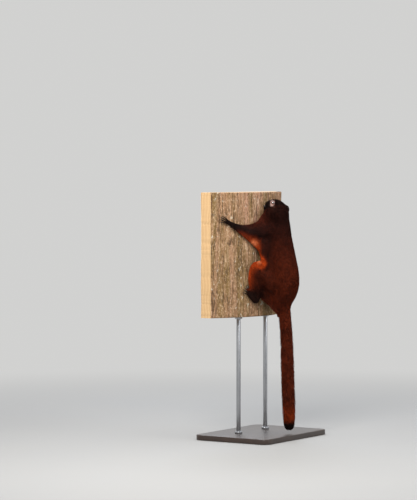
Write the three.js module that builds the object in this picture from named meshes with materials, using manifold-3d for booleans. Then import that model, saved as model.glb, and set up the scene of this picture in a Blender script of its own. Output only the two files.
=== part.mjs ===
// A giant flying squirrel clinging head up to a slab sawn from a tree trunk, on a plain display stand.
// Millimetres, +Z up. The animal's back faces -Y and its left side faces -X.
// The origin is the centre of the stand's underside.
import * as THREE from "three";
import { mergeVertices } from "three/addons/utils/BufferGeometryUtils.js";
import Module from "manifold-3d";

const wasm = await Module();
wasm.setup();

// Driving dimensions
const GAP = 0.3; // air kept between touching nodes
const TRUNK_RADIUS = 385;
const BARK_Y = -20; // the bark's foremost line, on the animal's midline
const SLAB = { bottom: 458, top: 922, halfAngle: 0.69, backing: 44, steps: 8, arcs: 24 };
const BASE = { width: 440, depth: 320, height: 20, corner: 26, bevel: 3 };
const ROD = { radius: 8, offset: 95, y: 42, sides: 16 };
const EYE_RADIUS = 7.6;
const TAIL_TIP_Z = 31;

const deg = (d) => (d * Math.PI) / 180;
const UP = new THREE.Vector3(0, 0, 1);

// A point over the bark: arc distance to the animal's left, height off the bark, and height in the world.
function onBark(arc, off, z) {
  const turn = arc / TRUNK_RADIUS;
  const r = TRUNK_RADIUS + off;
  return new THREE.Vector3(-r * Math.sin(turn), BARK_Y + TRUNK_RADIUS - r * Math.cos(turn), z);
}

// The direction away from the bark at a point of space.
function offBark(p) {
  return new THREE.Vector3(p.x, p.y - (BARK_Y + TRUNK_RADIUS), 0).normalize();
}

// Solids

function toSolid(geometry) {
  const plain = geometry.clone();
  plain.deleteAttribute("normal");
  plain.deleteAttribute("uv");
  const merged = mergeVertices(plain, 1e-4);
  const build = (index) =>
    new wasm.Manifold(
      new wasm.Mesh({
        numProp: 3,
        vertProperties: merged.attributes.position.array,
        triVerts: new Uint32Array(index),
      }),
    );
  const index = Array.from(merged.index.array);
  const made = build(index);
  return made.volume() < 0 ? build(index.reverse()) : made;
}

function toGeometry(solid) {
  const mesh = solid.getMesh();
  const count = mesh.numProp;
  const position = new Float32Array(mesh.numVert * 3);
  for (let i = 0; i < mesh.numVert; i++)
    position.set(mesh.vertProperties.subarray(i * count, i * count + 3), i * 3);
  return new THREE.BufferGeometry()
    .setAttribute("position", new THREE.BufferAttribute(position, 3))
    .setIndex(new THREE.BufferAttribute(new Uint32Array(mesh.triVerts), 1));
}

const join = (...solids) => solids.reduce((a, b) => a.add(b));
const cut = (solid, ...tools) => tools.reduce((a, b) => a.subtract(b), solid);
const largest = (solid) => solid.decompose().reduce((a, b) => (b.volume() > a.volume() ? b : a));

// A value read from a list at a share t of its length, on a smooth curve through its entries.
function readAlong(list, t) {
  const curve = new THREE.CatmullRomCurve3(list.map((v) => new THREE.Vector3(...v)));
  return curve.getPoint(t);
}

// A closed body over rings: rings[i] is {centre, side, rise} and the two poles close its ends.
function skinOver(rings, poles, around) {
  const geometry = new THREE.SphereGeometry(1, around, rings.length + 1);
  const position = geometry.getAttribute("position");
  for (let row = 0; row <= rings.length + 1; row++)
    for (let col = 0; col <= around; col++) {
      const turn = ((col % around) / around) * 2 * Math.PI;
      const ring = rings[row - 1];
      const p = row === 0 ? poles[0] : row > rings.length ? poles[1] : ring.at(turn);
      position.setXYZ(row * (around + 1) + col, p.x, p.y, p.z);
    }
  return toSolid(geometry);
}

// A limb: rings along a curve, each with a half-width to the side and two half-heights, and round ends.
// sizes[i] is [side, upper, lower] at points[i]. grow swells the whole limb evenly.
function limb(points, sizes, { around = 14, rows = 8, up, caps = [0.7, 0.7], capRows = 2 }, grow = 0) {
  const curve = new THREE.CatmullRomCurve3(points, false, "centripetal");
  const frameAt = (t) => {
    const centre = curve.getPoint(t);
    const along = curve.getTangent(t);
    const side = new THREE.Vector3().crossVectors(along, up ? up(centre) : offBark(centre)).normalize();
    const rise = new THREE.Vector3().crossVectors(side, along).normalize();
    const size = readAlong(sizes, t).addScalar(grow);
    return { centre, along, side, rise, size };
  };
  const ring = (frame, share, shift) => ({
    at: (turn) => {
      const high = Math.sin(turn) >= 0 ? frame.size.y : frame.size.z;
      return frame.centre
        .clone()
        .addScaledVector(frame.along, shift)
        .addScaledVector(frame.side, Math.cos(turn) * frame.size.x * share)
        .addScaledVector(frame.rise, Math.sin(turn) * high * share);
    },
  });
  const rings = [];
  const poles = [];
  const cap = (frame, sign, share) => {
    const reach = share * (frame.size.x + frame.size.y) * 0.5 + grow;
    const made = [];
    for (let k = 1; k <= capRows; k++) {
      const lift = (k / (capRows + 1)) * (Math.PI / 2);
      made.push(ring(frame, Math.sin(lift), sign * reach * Math.cos(lift)));
    }
    poles.push(frame.centre.clone().addScaledVector(frame.along, sign * reach));
    return made;
  };
  rings.push(...cap(frameAt(0), -1, caps[0]));
  for (let i = 0; i <= rows; i++) rings.push(ring(frameAt(i / rows), 1, 0));
  rings.push(...cap(frameAt(1), 1, caps[1]).reverse());
  return skinOver(rings, poles, around);
}

// A sheet between two curves. Across it, rows run from the root (0) to the edge (1), each [share, thickness],
// and both faces are split into triangles alike.
function sheet(root, edge, columns, rows, bulge = 0) {
  const rootCurve = new THREE.CatmullRomCurve3(root, false, "centripetal");
  const edgeCurve = new THREE.CatmullRomCurve3(edge, false, "centripetal");
  const last = rows.length - 1;
  const at = (i, j) => {
    const t = i / columns;
    const share = rows[j][0];
    const p = rootCurve.getPoint(t).lerp(edgeCurve.getPoint(t), share);
    return p.addScaledVector(offBark(p), bulge * Math.sin(Math.PI * share));
  };
  const normalAt = (i, j) => {
    const across = at(Math.min(i + 1, columns), j).sub(at(Math.max(i - 1, 0), j));
    const down = at(i, Math.min(j + 1, last)).sub(at(i, Math.max(j - 1, 0)));
    return across.cross(down).normalize();
  };
  const faces = [1, -1].map((sign) => (i, j) => at(i, j).addScaledVector(normalAt(i, j), (sign * rows[j][1]) / 2));
  return slabOver(faces, columns, last);
}

// A closed body between two faces, each a function of a grid of columns and rows.
function slabOver(faces, columns, rows) {
  const stride = rows + 1;
  const half = (columns + 1) * stride;
  const position = new Float32Array(half * 6);
  for (let i = 0; i <= columns; i++)
    for (let j = 0; j <= rows; j++)
      faces.forEach((face, k) => face(i, j).toArray(position, (k * half + i * stride + j) * 3));
  const index = [];
  for (let i = 0; i < columns; i++)
    for (let j = 0; j < rows; j++) {
      const a = i * stride + j;
      const [b, c, d] = [a + stride, a + stride + 1, a + 1];
      index.push(a, b, c, a, c, d);
      index.push(half + a, half + c, half + b, half + a, half + d, half + c);
    }
  const wall = (a, b) => index.push(b, a, half + a, b, half + a, half + b);
  for (let i = 0; i < columns; i++) {
    wall(i * stride, (i + 1) * stride);
    wall((i + 1) * stride + rows, i * stride + rows);
  }
  for (let j = 0; j < rows; j++) {
    wall(j + 1, j);
    wall(columns * stride + j, columns * stride + j + 1);
  }
  return toSolid(
    new THREE.BufferGeometry()
      .setAttribute("position", new THREE.BufferAttribute(position, 3))
      .setIndex(index),
  );
}

function ball(centre, radii, around = 12, rows = 8) {
  return toSolid(
    new THREE.SphereGeometry(1, around, rows)
      .scale(radii.x, radii.y, radii.z)
      .translate(centre.x, centre.y, centre.z),
  );
}

// The slab: a D-shaped length of trunk with bark on its round face

// How far the bark stands out from the round, in long upright ridges that wander.
function barkRelief(arc, z) {
  const ridges = 1.5 * Math.sin(arc / 13 + 1.1 * Math.sin(z / 95));
  const swells = 1.3 * Math.sin(arc / 44 + z / 170) + 0.9 * Math.sin(z / 41 + arc / 55);
  return ridges + swells;
}

function slab(grow = 0) {
  const { bottom, top, halfAngle, backing, steps, arcs } = SLAB;
  const outline = new THREE.Shape();
  const edgeX = TRUNK_RADIUS * Math.sin(halfAngle);
  const edgeY = TRUNK_RADIUS * (1 - Math.cos(halfAngle));
  for (let i = 0; i <= arcs; i++) {
    const turn = halfAngle * (1 - (2 * i) / arcs);
    const x = -TRUNK_RADIUS * Math.sin(turn);
    const y = TRUNK_RADIUS * (1 - Math.cos(turn));
    if (i === 0) outline.moveTo(x, y);
    else outline.lineTo(x, y);
  }
  outline.lineTo(edgeX, edgeY + backing);
  outline.lineTo(-edgeX, edgeY + backing);
  const geometry = new THREE.ExtrudeGeometry(outline, { depth: top - bottom, steps, bevelEnabled: false });
  const position = geometry.getAttribute("position");
  for (let i = 0; i < position.count; i++) {
    const x = position.getX(i);
    const y = position.getY(i);
    const z = position.getZ(i) + bottom;
    const onFace = y < edgeY + backing - 1;
    const turn = Math.atan2(-x, TRUNK_RADIUS - y);
    const r = TRUNK_RADIUS + (onFace ? barkRelief(turn * TRUNK_RADIUS, z) + grow : 0);
    if (onFace) position.setXYZ(i, -r * Math.sin(turn), BARK_Y + TRUNK_RADIUS - r * Math.cos(turn), z);
    else position.setXYZ(i, x, BARK_Y + y, z);
  }
  return toSolid(geometry);
}

function standBase() {
  const { width, depth, height, corner, bevel } = BASE;
  const [w, d, c] = [width / 2 - bevel, depth / 2 - bevel, corner];
  const outline = new THREE.Shape();
  outline.moveTo(-w + c, -d);
  outline.lineTo(w - c, -d).absarc(w - c, -d + c, c, -Math.PI / 2, 0);
  outline.lineTo(w, d - c).absarc(w - c, d - c, c, 0, Math.PI / 2);
  outline.lineTo(-w + c, d).absarc(-w + c, d - c, c, Math.PI / 2, Math.PI);
  outline.lineTo(-w, -d + c).absarc(-w + c, -d + c, c, Math.PI, 1.5 * Math.PI);
  return toSolid(
    new THREE.ExtrudeGeometry(outline, {
      depth: height - 2 * bevel,
      bevelThickness: bevel,
      bevelSize: bevel,
      bevelSegments: 1,
      curveSegments: 3,
    }).translate(0, 0, bevel),
  );
}

function standRod(x) {
  const bottom = BASE.height + GAP;
  const length = SLAB.bottom - GAP - bottom;
  return toSolid(
    new THREE.CylinderGeometry(ROD.radius, ROD.radius, length, ROD.sides)
      .rotateX(Math.PI / 2)
      .translate(x, ROD.y, bottom + length / 2),
  );
}

// Torso, neck and tail

const backwards = () => new THREE.Vector3(0, -1, 0);

// Stations up the trunk of the body: [height, off the bark, half-width, half-depth to the back, to the belly]
const TORSO = [
  [472, 79, 24, 24, 22],
  [492, 75, 33, 30, 27],
  [512, 72, 46, 39, 37],
  [540, 74, 58, 50, 48],
  [575, 77, 63, 58, 56],
  [615, 75, 64, 59, 57],
  [660, 69, 61, 55, 53],
  [705, 62, 57, 52, 47],
  [745, 55, 54, 50, 42],
  [780, 52, 51, 49, 38],
  [812, 54, 43, 44, 34],
];
const torso = (grow) =>
  limb(
    TORSO.map(([z, off]) => new THREE.Vector3(0, BARK_Y - off, z)),
    TORSO.map(([, , side, back, belly]) => [side, back, belly]),
    { around: 20, rows: 15, up: backwards, caps: [0.5, 0.6] },
    grow,
  );

// Stations up the neck: [height, off the bark, to the left, half-width, half-depth to the back, to the throat]
const NECK = [
  [788, 53, 0, 38, 39, 31],
  [820, 50, 4, 45, 50, 38],
  [843, 47, 9, 46, 53, 37],
  [858, 45, 11, 42, 52, 33],
];
const neck = (grow) =>
  limb(
    NECK.map(([z, off, left]) => new THREE.Vector3(-left, BARK_Y - off, z)),
    NECK.map(([, , , side, back, throat]) => [side, back, throat]),
    { around: 16, rows: 4, up: backwards, caps: [0.5, 0.3] },
    grow,
  );

const TAIL = [
  [TAIL_TIP_Z + 20, 102, 20],
  [90, 101.5, 25],
  [142, 99.5, 26.5],
  [217, 96, 26.5],
  [292, 93.5, 26.5],
  [349, 91.5, 25.5],
  [405, 88, 24.5],
  [461, 82, 25],
  [500, 75, 30],
];
const TAIL_LOCKS = {
  rings: 12,
  around: 6,
  first: 0.04,
  last: 0.905,
  length: 62,
  width: 10,
  thickness: 3.6,
  sunk: 0.4,
};
const TAIL_CORE = 0.5; // the core's share of the coat's radius

const tailPath = (rows) => rows.map(([z, off]) => new THREE.Vector3(0, BARK_Y - off, z));

// The tail's outer form, out to the tips of its coat.
const tailForm = (rows, share, grow, around = 6) =>
  limb(
    tailPath(rows),
    rows.map(([, , r]) => [r * share, r * share, r * share]),
    { around, rows: rows.length, up: backwards, caps: [1.1, 0.5] },
    grow,
  );

// A flat lock that tapers to its tip. Its spine leaves the root along the coat's lie and bends outwards by rise.
function lock(root, along, out, length, width, thickness, rise) {
  const side = new THREE.Vector3().crossVectors(along, out).normalize();
  const at = (t) =>
    root
      .clone()
      .addScaledVector(along, length * t)
      .addScaledVector(out, rise * Math.sin((t * Math.PI) / 2));
  const ring = (t, share) => {
    const centre = at(t);
    return {
      at: (turn) =>
        centre
          .clone()
          .addScaledVector(side, Math.sin(turn) * width * share)
          .addScaledVector(out, Math.cos(turn) * thickness * share),
    };
  };
  return skinOver([ring(0.12, 0.7), ring(0.45, 1), ring(0.84, 0.78)], [at(0), at(1)], 3);
}

// The tail: a slim core with overlapping locks that lie towards its tip.
function tail() {
  const curve = new THREE.CatmullRomCurve3(tailPath(TAIL), false, "centripetal");
  const radii = TAIL.map(([, , r]) => [r, r, r]);
  const { rings, around, first, last, length, width, thickness, sunk } = TAIL_LOCKS;
  const random = seeded(11);
  const locks = [];
  for (let i = 0; i < rings; i++) {
    const t = curve.getUtoTmapping(first + ((last - first) * i) / (rings - 1));
    const centre = curve.getPoint(t);
    const along = curve.getTangent(t).negate();
    const r = readAlong(radii, t).x;
    for (let j = 0; j < around; j++) {
      const turn = ((j + 0.5 * (i % 2) + 0.3 * (random() - 0.5)) / around) * 2 * Math.PI;
      const out = new THREE.Vector3(Math.cos(turn), Math.sin(turn), 0).projectOnPlane(along).normalize();
      const root = centre.clone().addScaledVector(out, r * sunk);
      const reach = length * (0.9 + 0.2 * random());
      const room = centre.z - TAIL_TIP_Z;
      const fit = Math.min(1, room / reach);
      const rise = (r * 0.97 - thickness * 0.3) * (fit < 1 ? 0.8 : 1) - r * sunk;
      locks.push(lock(root, along, out, reach * fit, width, thickness, rise));
    }
  }
  return join(tailForm(TAIL, TAIL_CORE, 0), ...locks);
}

// A repeatable stream of numbers from 0 to 1.
function seeded(seed) {
  let state = seed * 7919;
  return () => {
    state = (state * 16807) % 2147483647;
    return state / 2147483647;
  };
}

// Head

const HEAD_YAW = deg(43); // turned to its own left
const FORWARD = new THREE.Vector3(-Math.sin(HEAD_YAW), Math.cos(HEAD_YAW), 0);
const HEAD_LEFT = new THREE.Vector3().crossVectors(UP, FORWARD);
const NOSE_TIP = new THREE.Vector3(-36.5, BARK_Y - 12, 863);

// A point of the head: behind the nose tip, to the head's left, and above the muzzle's middle.
function onHead(behind, left, above) {
  return NOSE_TIP.clone()
    .addScaledVector(FORWARD, -behind)
    .addScaledVector(HEAD_LEFT, left)
    .addScaledVector(UP, above);
}

// Stations along the head: [behind the nose tip, top, bottom, half-width]
const HEAD = [
  [3.5, 10, -10, 9.5],
  [8, 14.5, -13.5, 13],
  [14, 19.5, -15.5, 16],
  [20, 26, -16.5, 19],
  [28, 31, -17.5, 23.5],
  [38, 33.5, -19.5, 27],
  [50, 32, -21.5, 28.5],
  [62, 26, -22, 27.5],
  [74, 17, -20, 22],
];
const headLoft = (grow) =>
  limb(
    HEAD.map(([behind, top, bottom]) => onHead(behind, 0, (top + bottom) / 2)),
    HEAD.map(([, top, bottom, side]) => [side, (top - bottom) / 2, (top - bottom) / 2]),
    { around: 20, rows: 13, up: () => UP, caps: [0.35, 0.5] },
    grow,
  );

const EYE = { behind: 31, side: 18.6, above: 19.5 };
const eyeBall = (side, grow = 0) => {
  const r = EYE_RADIUS + grow;
  return ball(onHead(EYE.behind, side * EYE.side, EYE.above), new THREE.Vector3(r, r, r), 12, 6);
};

// The lids: a rounded ring round the eye, turned to look out, forwards and up.
function lids(side) {
  const look = new THREE.Vector3()
    .addScaledVector(FORWARD, 0.38)
    .addScaledVector(HEAD_LEFT, side)
    .addScaledVector(UP, 0.42)
    .normalize();
  const centre = onHead(EYE.behind, side * EYE.side, EYE.above).addScaledVector(look, 2.6);
  const turn = new THREE.Quaternion().setFromUnitVectors(UP, look);
  const ring = new THREE.TorusGeometry(EYE_RADIUS - 0.3, 1.8, 5, 14).applyQuaternion(turn);
  return toSolid(ring.translate(centre.x, centre.y, centre.z));
}

// A thin round cord along points: a tool for fine grooves, and the roll of a lip.
const cord = (points, radius, up = UP) =>
  limb(points, [[radius, radius, radius], [radius, radius, radius]], { around: 5, rows: 9, up: () => up, capRows: 1 });

// How far the muzzle's side stands from the head's middle plane.
function muzzleSide(behind, above) {
  const next = HEAD.findIndex(([station]) => station > behind);
  const [from, to] = [HEAD[next - 1], HEAD[next]];
  const share = (behind - from[0]) / (to[0] - from[0]);
  const [, top, bottom, side] = from.map((v, i) => v + (to[i] - v) * share);
  return side * Math.sqrt(1 - ((2 * above - top - bottom) / (top - bottom)) ** 2);
}

// The line of the mouth from its left corner to the front: [behind the nose tip, above]
const MOUTH = [
  [25, -8.6],
  [16, -10],
  [9, -9.4],
  [4, -7.8],
];
function mouthPath(lift, inset) {
  const half = (side) =>
    MOUTH.map(([behind, above]) =>
      onHead(behind, side * (muzzleSide(behind, above + lift) - inset), above + lift),
    );
  return [...half(1), onHead(1 + inset, 0, -6.4 + lift), ...half(-1).reverse()];
}

// The head's outside, with its lips, nose and chin, before the finer cuts.
function headBulk(grow) {
  const nosePad = ball(onHead(4.8, 0, 6.4), new THREE.Vector3(5.8, 5.8, 4.6).addScalar(grow), 10, 6);
  const chin = ball(onHead(15, 0, -11.5), new THREE.Vector3(10, 10, 7.5).addScalar(grow), 10, 6);
  const upperLip = cord(mouthPath(1.6, 0.6).slice(1, 8), 1.5 + grow);
  const lowerLip = cord(mouthPath(-1.5, 0.8).slice(1, 8), 1.4 + grow);
  return join(headLoft(grow), nosePad, chin, upperLip, lowerLip);
}

function head() {
  const lipSplit = cord([onHead(0.4, 0, 3), onHead(0.4, 0, -5)], 0.8, FORWARD);
  const nostrils = [1, -1].map((side) => ball(onHead(-0.5, side * 2.9, 6.4), new THREE.Vector3(1.5, 1.5, 1.1), 6, 4));
  return cut(
    join(headBulk(0), lids(1), lids(-1)),
    eyeBall(1, GAP),
    eyeBall(-1, GAP),
    cord(mouthPath(0, -0.4), 0.9),
    lipSplit,
    ...nostrils,
  );
}

// An ear: a leaf bent into a cup about its long axis, closed in at the root.
const EAR = { length: 38, halfWidth: 14.5, thickness: 2.2, columns: 7, rows: 6 };
function ear(side) {
  const root = onHead(56, side * 23, 10.5);
  const along = new THREE.Vector3()
    .addScaledVector(FORWARD, -0.76)
    .addScaledVector(HEAD_LEFT, side * 0.62)
    .addScaledVector(UP, -0.34)
    .normalize();
  const opening = new THREE.Vector3()
    .addScaledVector(FORWARD, 0.5)
    .addScaledVector(HEAD_LEFT, side * 0.8)
    .addScaledVector(UP, 0.35);
  opening.addScaledVector(along, -opening.dot(along)).normalize();
  const across = new THREE.Vector3().crossVectors(along, opening);
  const { length, halfWidth, thickness, columns, rows } = EAR;
  const at = (i, j, lift) => {
    const s = j / rows;
    const bend = deg(138 - 72 * s) * ((2 * i) / columns - 1);
    const breadth = halfWidth * Math.sqrt(Math.max(0, Math.sin(Math.PI * Math.min(1, 0.22 + 0.78 * s) * 0.97)));
    const radius = breadth / (1.25 + 0.35 * (1 - s));
    const r = radius + lift;
    return root
      .clone()
      .addScaledVector(along, length * s)
      .addScaledVector(across, Math.sin(bend * 0.72) * r * 1.25)
      .addScaledVector(opening, -Math.cos(bend * 0.72) * r + radius * 0.4);
  };
  const faces = [1, -1].map((sign) => (i, j) => at(i, j, (sign * thickness) / 2));
  return slabOver(faces, columns, rows);
}

// Limbs. Each joint is [arc to the side, off the bark, height], given for the left and mirrored for the right.

const POSE = {
  left: {
    side: 1,
    shoulder: [33, 49, 783],
    elbow: [105, 22, 773],
    wrist: [188, 10, 806],
    handTurn: deg(25),
    hip: [30, 62, 575],
    knee: [82, 31, 626],
    ankle: [73, 14, 528],
    heel: [72, 0, 516],
    footTurn: deg(44),
  },
  right: {
    side: -1,
    shoulder: [33, 49, 786],
    elbow: [101, 23, 800],
    wrist: [172, 11, 842],
    handTurn: deg(30),
    hip: [30, 62, 572],
    knee: [84, 31, 612],
    ankle: [74, 14, 513],
    heel: [73, 0, 497],
    footTurn: deg(50),
  },
};

const place = (pose, [arc, off, z]) => onBark(pose.side * arc, off, z);
const between = (a, b, share, lift = 0) => a.map((v, i) => v + (b[i] - v) * share + (i === 1 ? lift : 0));

const upperArm = (pose, grow) =>
  limb(
    [pose.shoulder, between(pose.shoulder, pose.elbow, 0.5), pose.elbow].map((p) => place(pose, p)),
    [[26, 24, 24], [21, 18, 18], [15.5, 14, 14]],
    { around: 12, rows: 5 },
    grow,
  );

const forearm = (pose, grow) =>
  limb(
    [pose.elbow, between(pose.elbow, pose.wrist, 0.4, 1), between(pose.elbow, pose.wrist, 0.8), pose.wrist].map((p) =>
      place(pose, p),
    ),
    [[14.5, 13.5, 13], [12, 11.5, 11], [8.5, 8, 7.5], [7, 7, 6]],
    { around: 10, rows: 5 },
    grow,
  );

const thigh = (pose, grow) =>
  limb(
    [pose.hip, between(pose.hip, pose.knee, 0.5), pose.knee].map((p) => place(pose, p)),
    [[38, 34, 34], [33, 29, 29], [23, 20, 20]],
    { around: 13, rows: 5 },
    grow,
  );

const shank = (pose, grow) =>
  limb(
    [pose.knee, between(pose.knee, pose.ankle, 0.4, 1), between(pose.knee, pose.ankle, 0.75), pose.ankle].map((p) =>
      place(pose, p),
    ),
    [[22, 19, 18], [20, 17, 16], [15, 13.5, 12], [12.5, 12, 10]],
    { around: 11, rows: 5 },
    grow,
  );

// Hands and feet. A step over the bark from the root: forwards, to the side of the heading, and off the bark.
function overBark(pose, [arc, , z], turn) {
  return (forward, across, off) =>
    onBark(
      pose.side * (arc + forward * Math.cos(turn) - across * Math.sin(turn)),
      off,
      z + forward * Math.sin(turn) + across * Math.cos(turn),
    );
}

// A digit: an arched tube with a hooked claw sunk into its end.
function digit(step, from, across, spread, length, radius, grow) {
  const reach = (share, off) =>
    step(from + length * share * Math.cos(spread), across + length * share * Math.sin(spread), off);
  const toe = limb(
    [reach(-0.25, 8), reach(0.4, 10.5), reach(0.8, 8), reach(1, 5.5)],
    [[radius * 1.15, radius, radius], [radius, radius, radius], [radius, radius, radius], [radius * 0.95, radius * 0.9, radius]],
    { around: 5, rows: 3, capRows: 1 },
    grow,
  );
  const clawShare = 9 / length;
  const claw = limb(
    [reach(0.9, 6.5), reach(1 + clawShare * 0.6, 7.2), reach(1 + clawShare, 3.2), reach(1 + clawShare * 1.08, 0.8)],
    [[1.5, 2, 2], [1.2, 1.7, 1.7], [0.8, 1.1, 1.1], [0.35, 0.35, 0.35]],
    { around: 4, rows: 2, capRows: 1 },
    grow,
  );
  return join(toe, claw);
}

const HAND = { palm: 18, digits: [[-5.2, deg(-14), 18], [-1.8, deg(-4), 22.5], [1.9, deg(6), 23.5], [5.4, deg(16), 19.5]] };
function hand(pose, grow = 0) {
  const step = overBark(pose, pose.wrist, pose.handTurn);
  const palm = limb(
    [step(-3, 0, 11), step(6, 0, 8.5), step(HAND.palm, 0, 7)],
    [[7.5, 7, 6.5], [8, 6.5, 6.5], [7.5, 5, 6]],
    { around: 10, rows: 3 },
    grow,
  );
  const thumb = ball(step(9, 7.5, 4.5), new THREE.Vector3(3, 3, 3).addScalar(grow), 6, 4);
  const digits = HAND.digits.map(([across, spread, length]) =>
    digit(step, HAND.palm - 2, across, spread, length, 2.1, grow),
  );
  return join(palm, thumb, ...digits);
}

const FOOT = {
  sole: 47,
  digits: [[-9.8, deg(-20), 15], [-4.9, deg(-8), 20], [0, 0, 22], [4.9, deg(6), 20], [9.6, deg(13), 15]],
};
function foot(pose, grow = 0) {
  const step = overBark(pose, pose.heel, pose.footTurn);
  const sole = limb(
    [step(4, 0, 12), step(17, 0, 10.5), step(33, 0, 9), step(FOOT.sole, 0, 7.5)],
    [[13.5, 13, 11], [14.5, 12, 10], [14, 9, 8.5], [12.5, 6, 6.5]],
    { around: 12, rows: 5 },
    grow,
  );
  const digits = FOOT.digits.map(([across, spread, length]) =>
    digit(step, FOOT.sole - 1, across, spread, length, 2.4, grow),
  );
  return join(sole, ...digits);
}

// Gliding membranes. Edges and roots are [arc to the side, off the bark, height] for the left; lift moves them
// with the limb that they hang from on the right.

const RIM = [
  [190, 9, 800],
  [165, 9.5, 780],
  [134, 10, 758],
  [107, 11, 738],
  [84, 13.5, 721],
  [65, 17.5, 702],
  [60, 21, 677],
  [57, 26, 661],
  [76, 28, 664],
  [96, 24, 662],
  [109, 18, 646],
  [113, 14, 618],
  [113, 11, 590],
  [103, 9, 562],
];
// Across the membrane from its root to the rolled edge: [share, thickness]
const RIM_ROLL = [[0, 4], [0.7, 5], [0.8, 9], [0.92, 11], [1, 7], [1.04, 2]];
const WEB_ROOT = [
  [186, 12, 809],
  [163, 14, 798],
  [136, 17, 789],
  [104, 22, 775],
  [52, 40, 748],
  [42, 46, 716],
  [41, 50, 690],
  [44, 54, 668],
  [52, 54, 652],
  [62, 48, 638],
  [76, 36, 626],
  [82, 26, 604],
  [79, 20, 576],
  [74, 15, 545],
];
// On the right the arm is higher and the leg lower, so the membrane's two ends shift with them.
function shifted(pose, list) {
  if (pose.side > 0) return list;
  const arm = pose.wrist.map((v, i) => v - POSE.left.wrist[i]);
  const leg = pose.ankle.map((v, i) => v - POSE.left.ankle[i]);
  return list.map(([arc, off, z]) => {
    const byArm = THREE.MathUtils.smoothstep(z, 690, 800);
    const byLeg = 1 - THREE.MathUtils.smoothstep(z, 590, 690);
    return [arc + arm[0] * byArm, off, z + arm[2] * byArm + leg[2] * byLeg];
  });
}

function flankMembrane(pose, ...neighbours) {
  const edge = shifted(pose, RIM).map((p) => place(pose, p));
  const root = shifted(pose, WEB_ROOT).map((p) => place(pose, p));
  return largest(cut(sheet(root, edge, 18, RIM_ROLL, 4), ...neighbours));
}

const THIN_EDGE = [[0, 7], [0.75, 7], [1, 5], [1.06, 2]];
const NECK_EDGE = [
  [38, 31, 853],
  [50, 26, 845],
  [64, 23, 827],
  [83, 21, 811],
  [109, 18, 803],
  [139, 15, 801],
  [168, 13, 805],
  [186, 12, 811],
];
const NECK_ROOT = [
  [26, 44, 812],
  [40, 40, 800],
  [60, 35, 790],
  [84, 29, 784],
  [110, 22, 784],
  [139, 17, 790],
  [167, 13, 800],
  [187, 11, 808],
];
function neckMembrane(pose, ...neighbours) {
  const arm = pose.wrist.map((v, i) => v - POSE.left.wrist[i]);
  const follow = (list) =>
    list.map(([arc, off, z], i) => {
      const share = pose.side > 0 ? 0 : i / (list.length - 1);
      return place(pose, [arc + arm[0] * share, off, z + arm[2] * share]);
    });
  return largest(cut(sheet(follow(NECK_ROOT), follow(NECK_EDGE), 10, THIN_EDGE), ...neighbours));
}

const TAIL_EDGE = [
  [80, 27, 604],
  [72, 20, 570],
  [58, 14, 538],
  [49, 15, 527],
  [41, 23, 515],
  [32, 33, 504],
  [27, 41, 494],
  [24, 48, 482],
  [17, 57, 472],
  [13, 65, 456],
];
const TAIL_ROOT = [
  [80, 34, 608],
  [66, 44, 590],
  [52, 54, 572],
  [42, 58, 556],
  [32, 62, 542],
  [22, 66, 528],
  [15, 69, 514],
  [8, 71, 501],
  [3, 73, 488],
  [0, 77, 470],
];
function tailMembrane(pose, ...neighbours) {
  const leg = pose.ankle.map((v, i) => v - POSE.left.ankle[i]);
  const follow = (list) =>
    list.map(([arc, off, z], i) => {
      const share = pose.side > 0 ? 0 : 1 - i / (list.length - 1);
      return place(pose, [arc, off, z + leg[2] * share]);
    });
  return largest(cut(sheet(follow(TAIL_ROOT), follow(TAIL_EDGE), 11, THIN_EDGE), ...neighbours));
}

// The whole: each node is cut clear of what it grows from

const finish = (color, roughness, metalness = 0) => new THREE.MeshStandardMaterial({ color, roughness, metalness });
const FINISHES = {
  coat: finish(0x4a1e14, 0.85),
  membrane: finish(0x8a3a16, 0.85),
  skin: finish(0x8c5a52, 0.6),
  eye: finish(0x1a0d0a, 0.1),
  bark: finish(0x9c7a62, 0.95),
  base: finish(0x2a2421, 0.5),
  steel: finish(0x8f9296, 0.35, 0.9),
};

const model = new THREE.Group();
function add(name, solid, look) {
  const mesh = new THREE.Mesh(toGeometry(solid), FINISHES[look]);
  mesh.name = name;
  model.add(mesh);
}

const trunkClear = slab(GAP);
const torsoClear = torso(GAP);
const neckClear = neck(GAP);
const headClear = headBulk(GAP);

add("perch_trunk", slab(), "bark");
add("stand_base", standBase(), "base");
add("stand_rod_left", standRod(-ROD.offset), "steel");
add("stand_rod_right", standRod(ROD.offset), "steel");

add("torso", torso(0), "coat");
add("neck", largest(cut(neck(0), torsoClear, headClear)), "coat");
add("head", largest(cut(head(), torsoClear)), "coat");
for (const [word, side] of [["left", 1], ["right", -1]]) {
  add("eye_" + word, eyeBall(side), "eye");
  add("ear_" + word, largest(cut(ear(side), headClear, neckClear)), "skin");
}

add("tail", largest(cut(tail(), torsoClear)), "coat");
const tailClear = tailForm(TAIL.slice(4), 1, GAP, 14);

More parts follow.
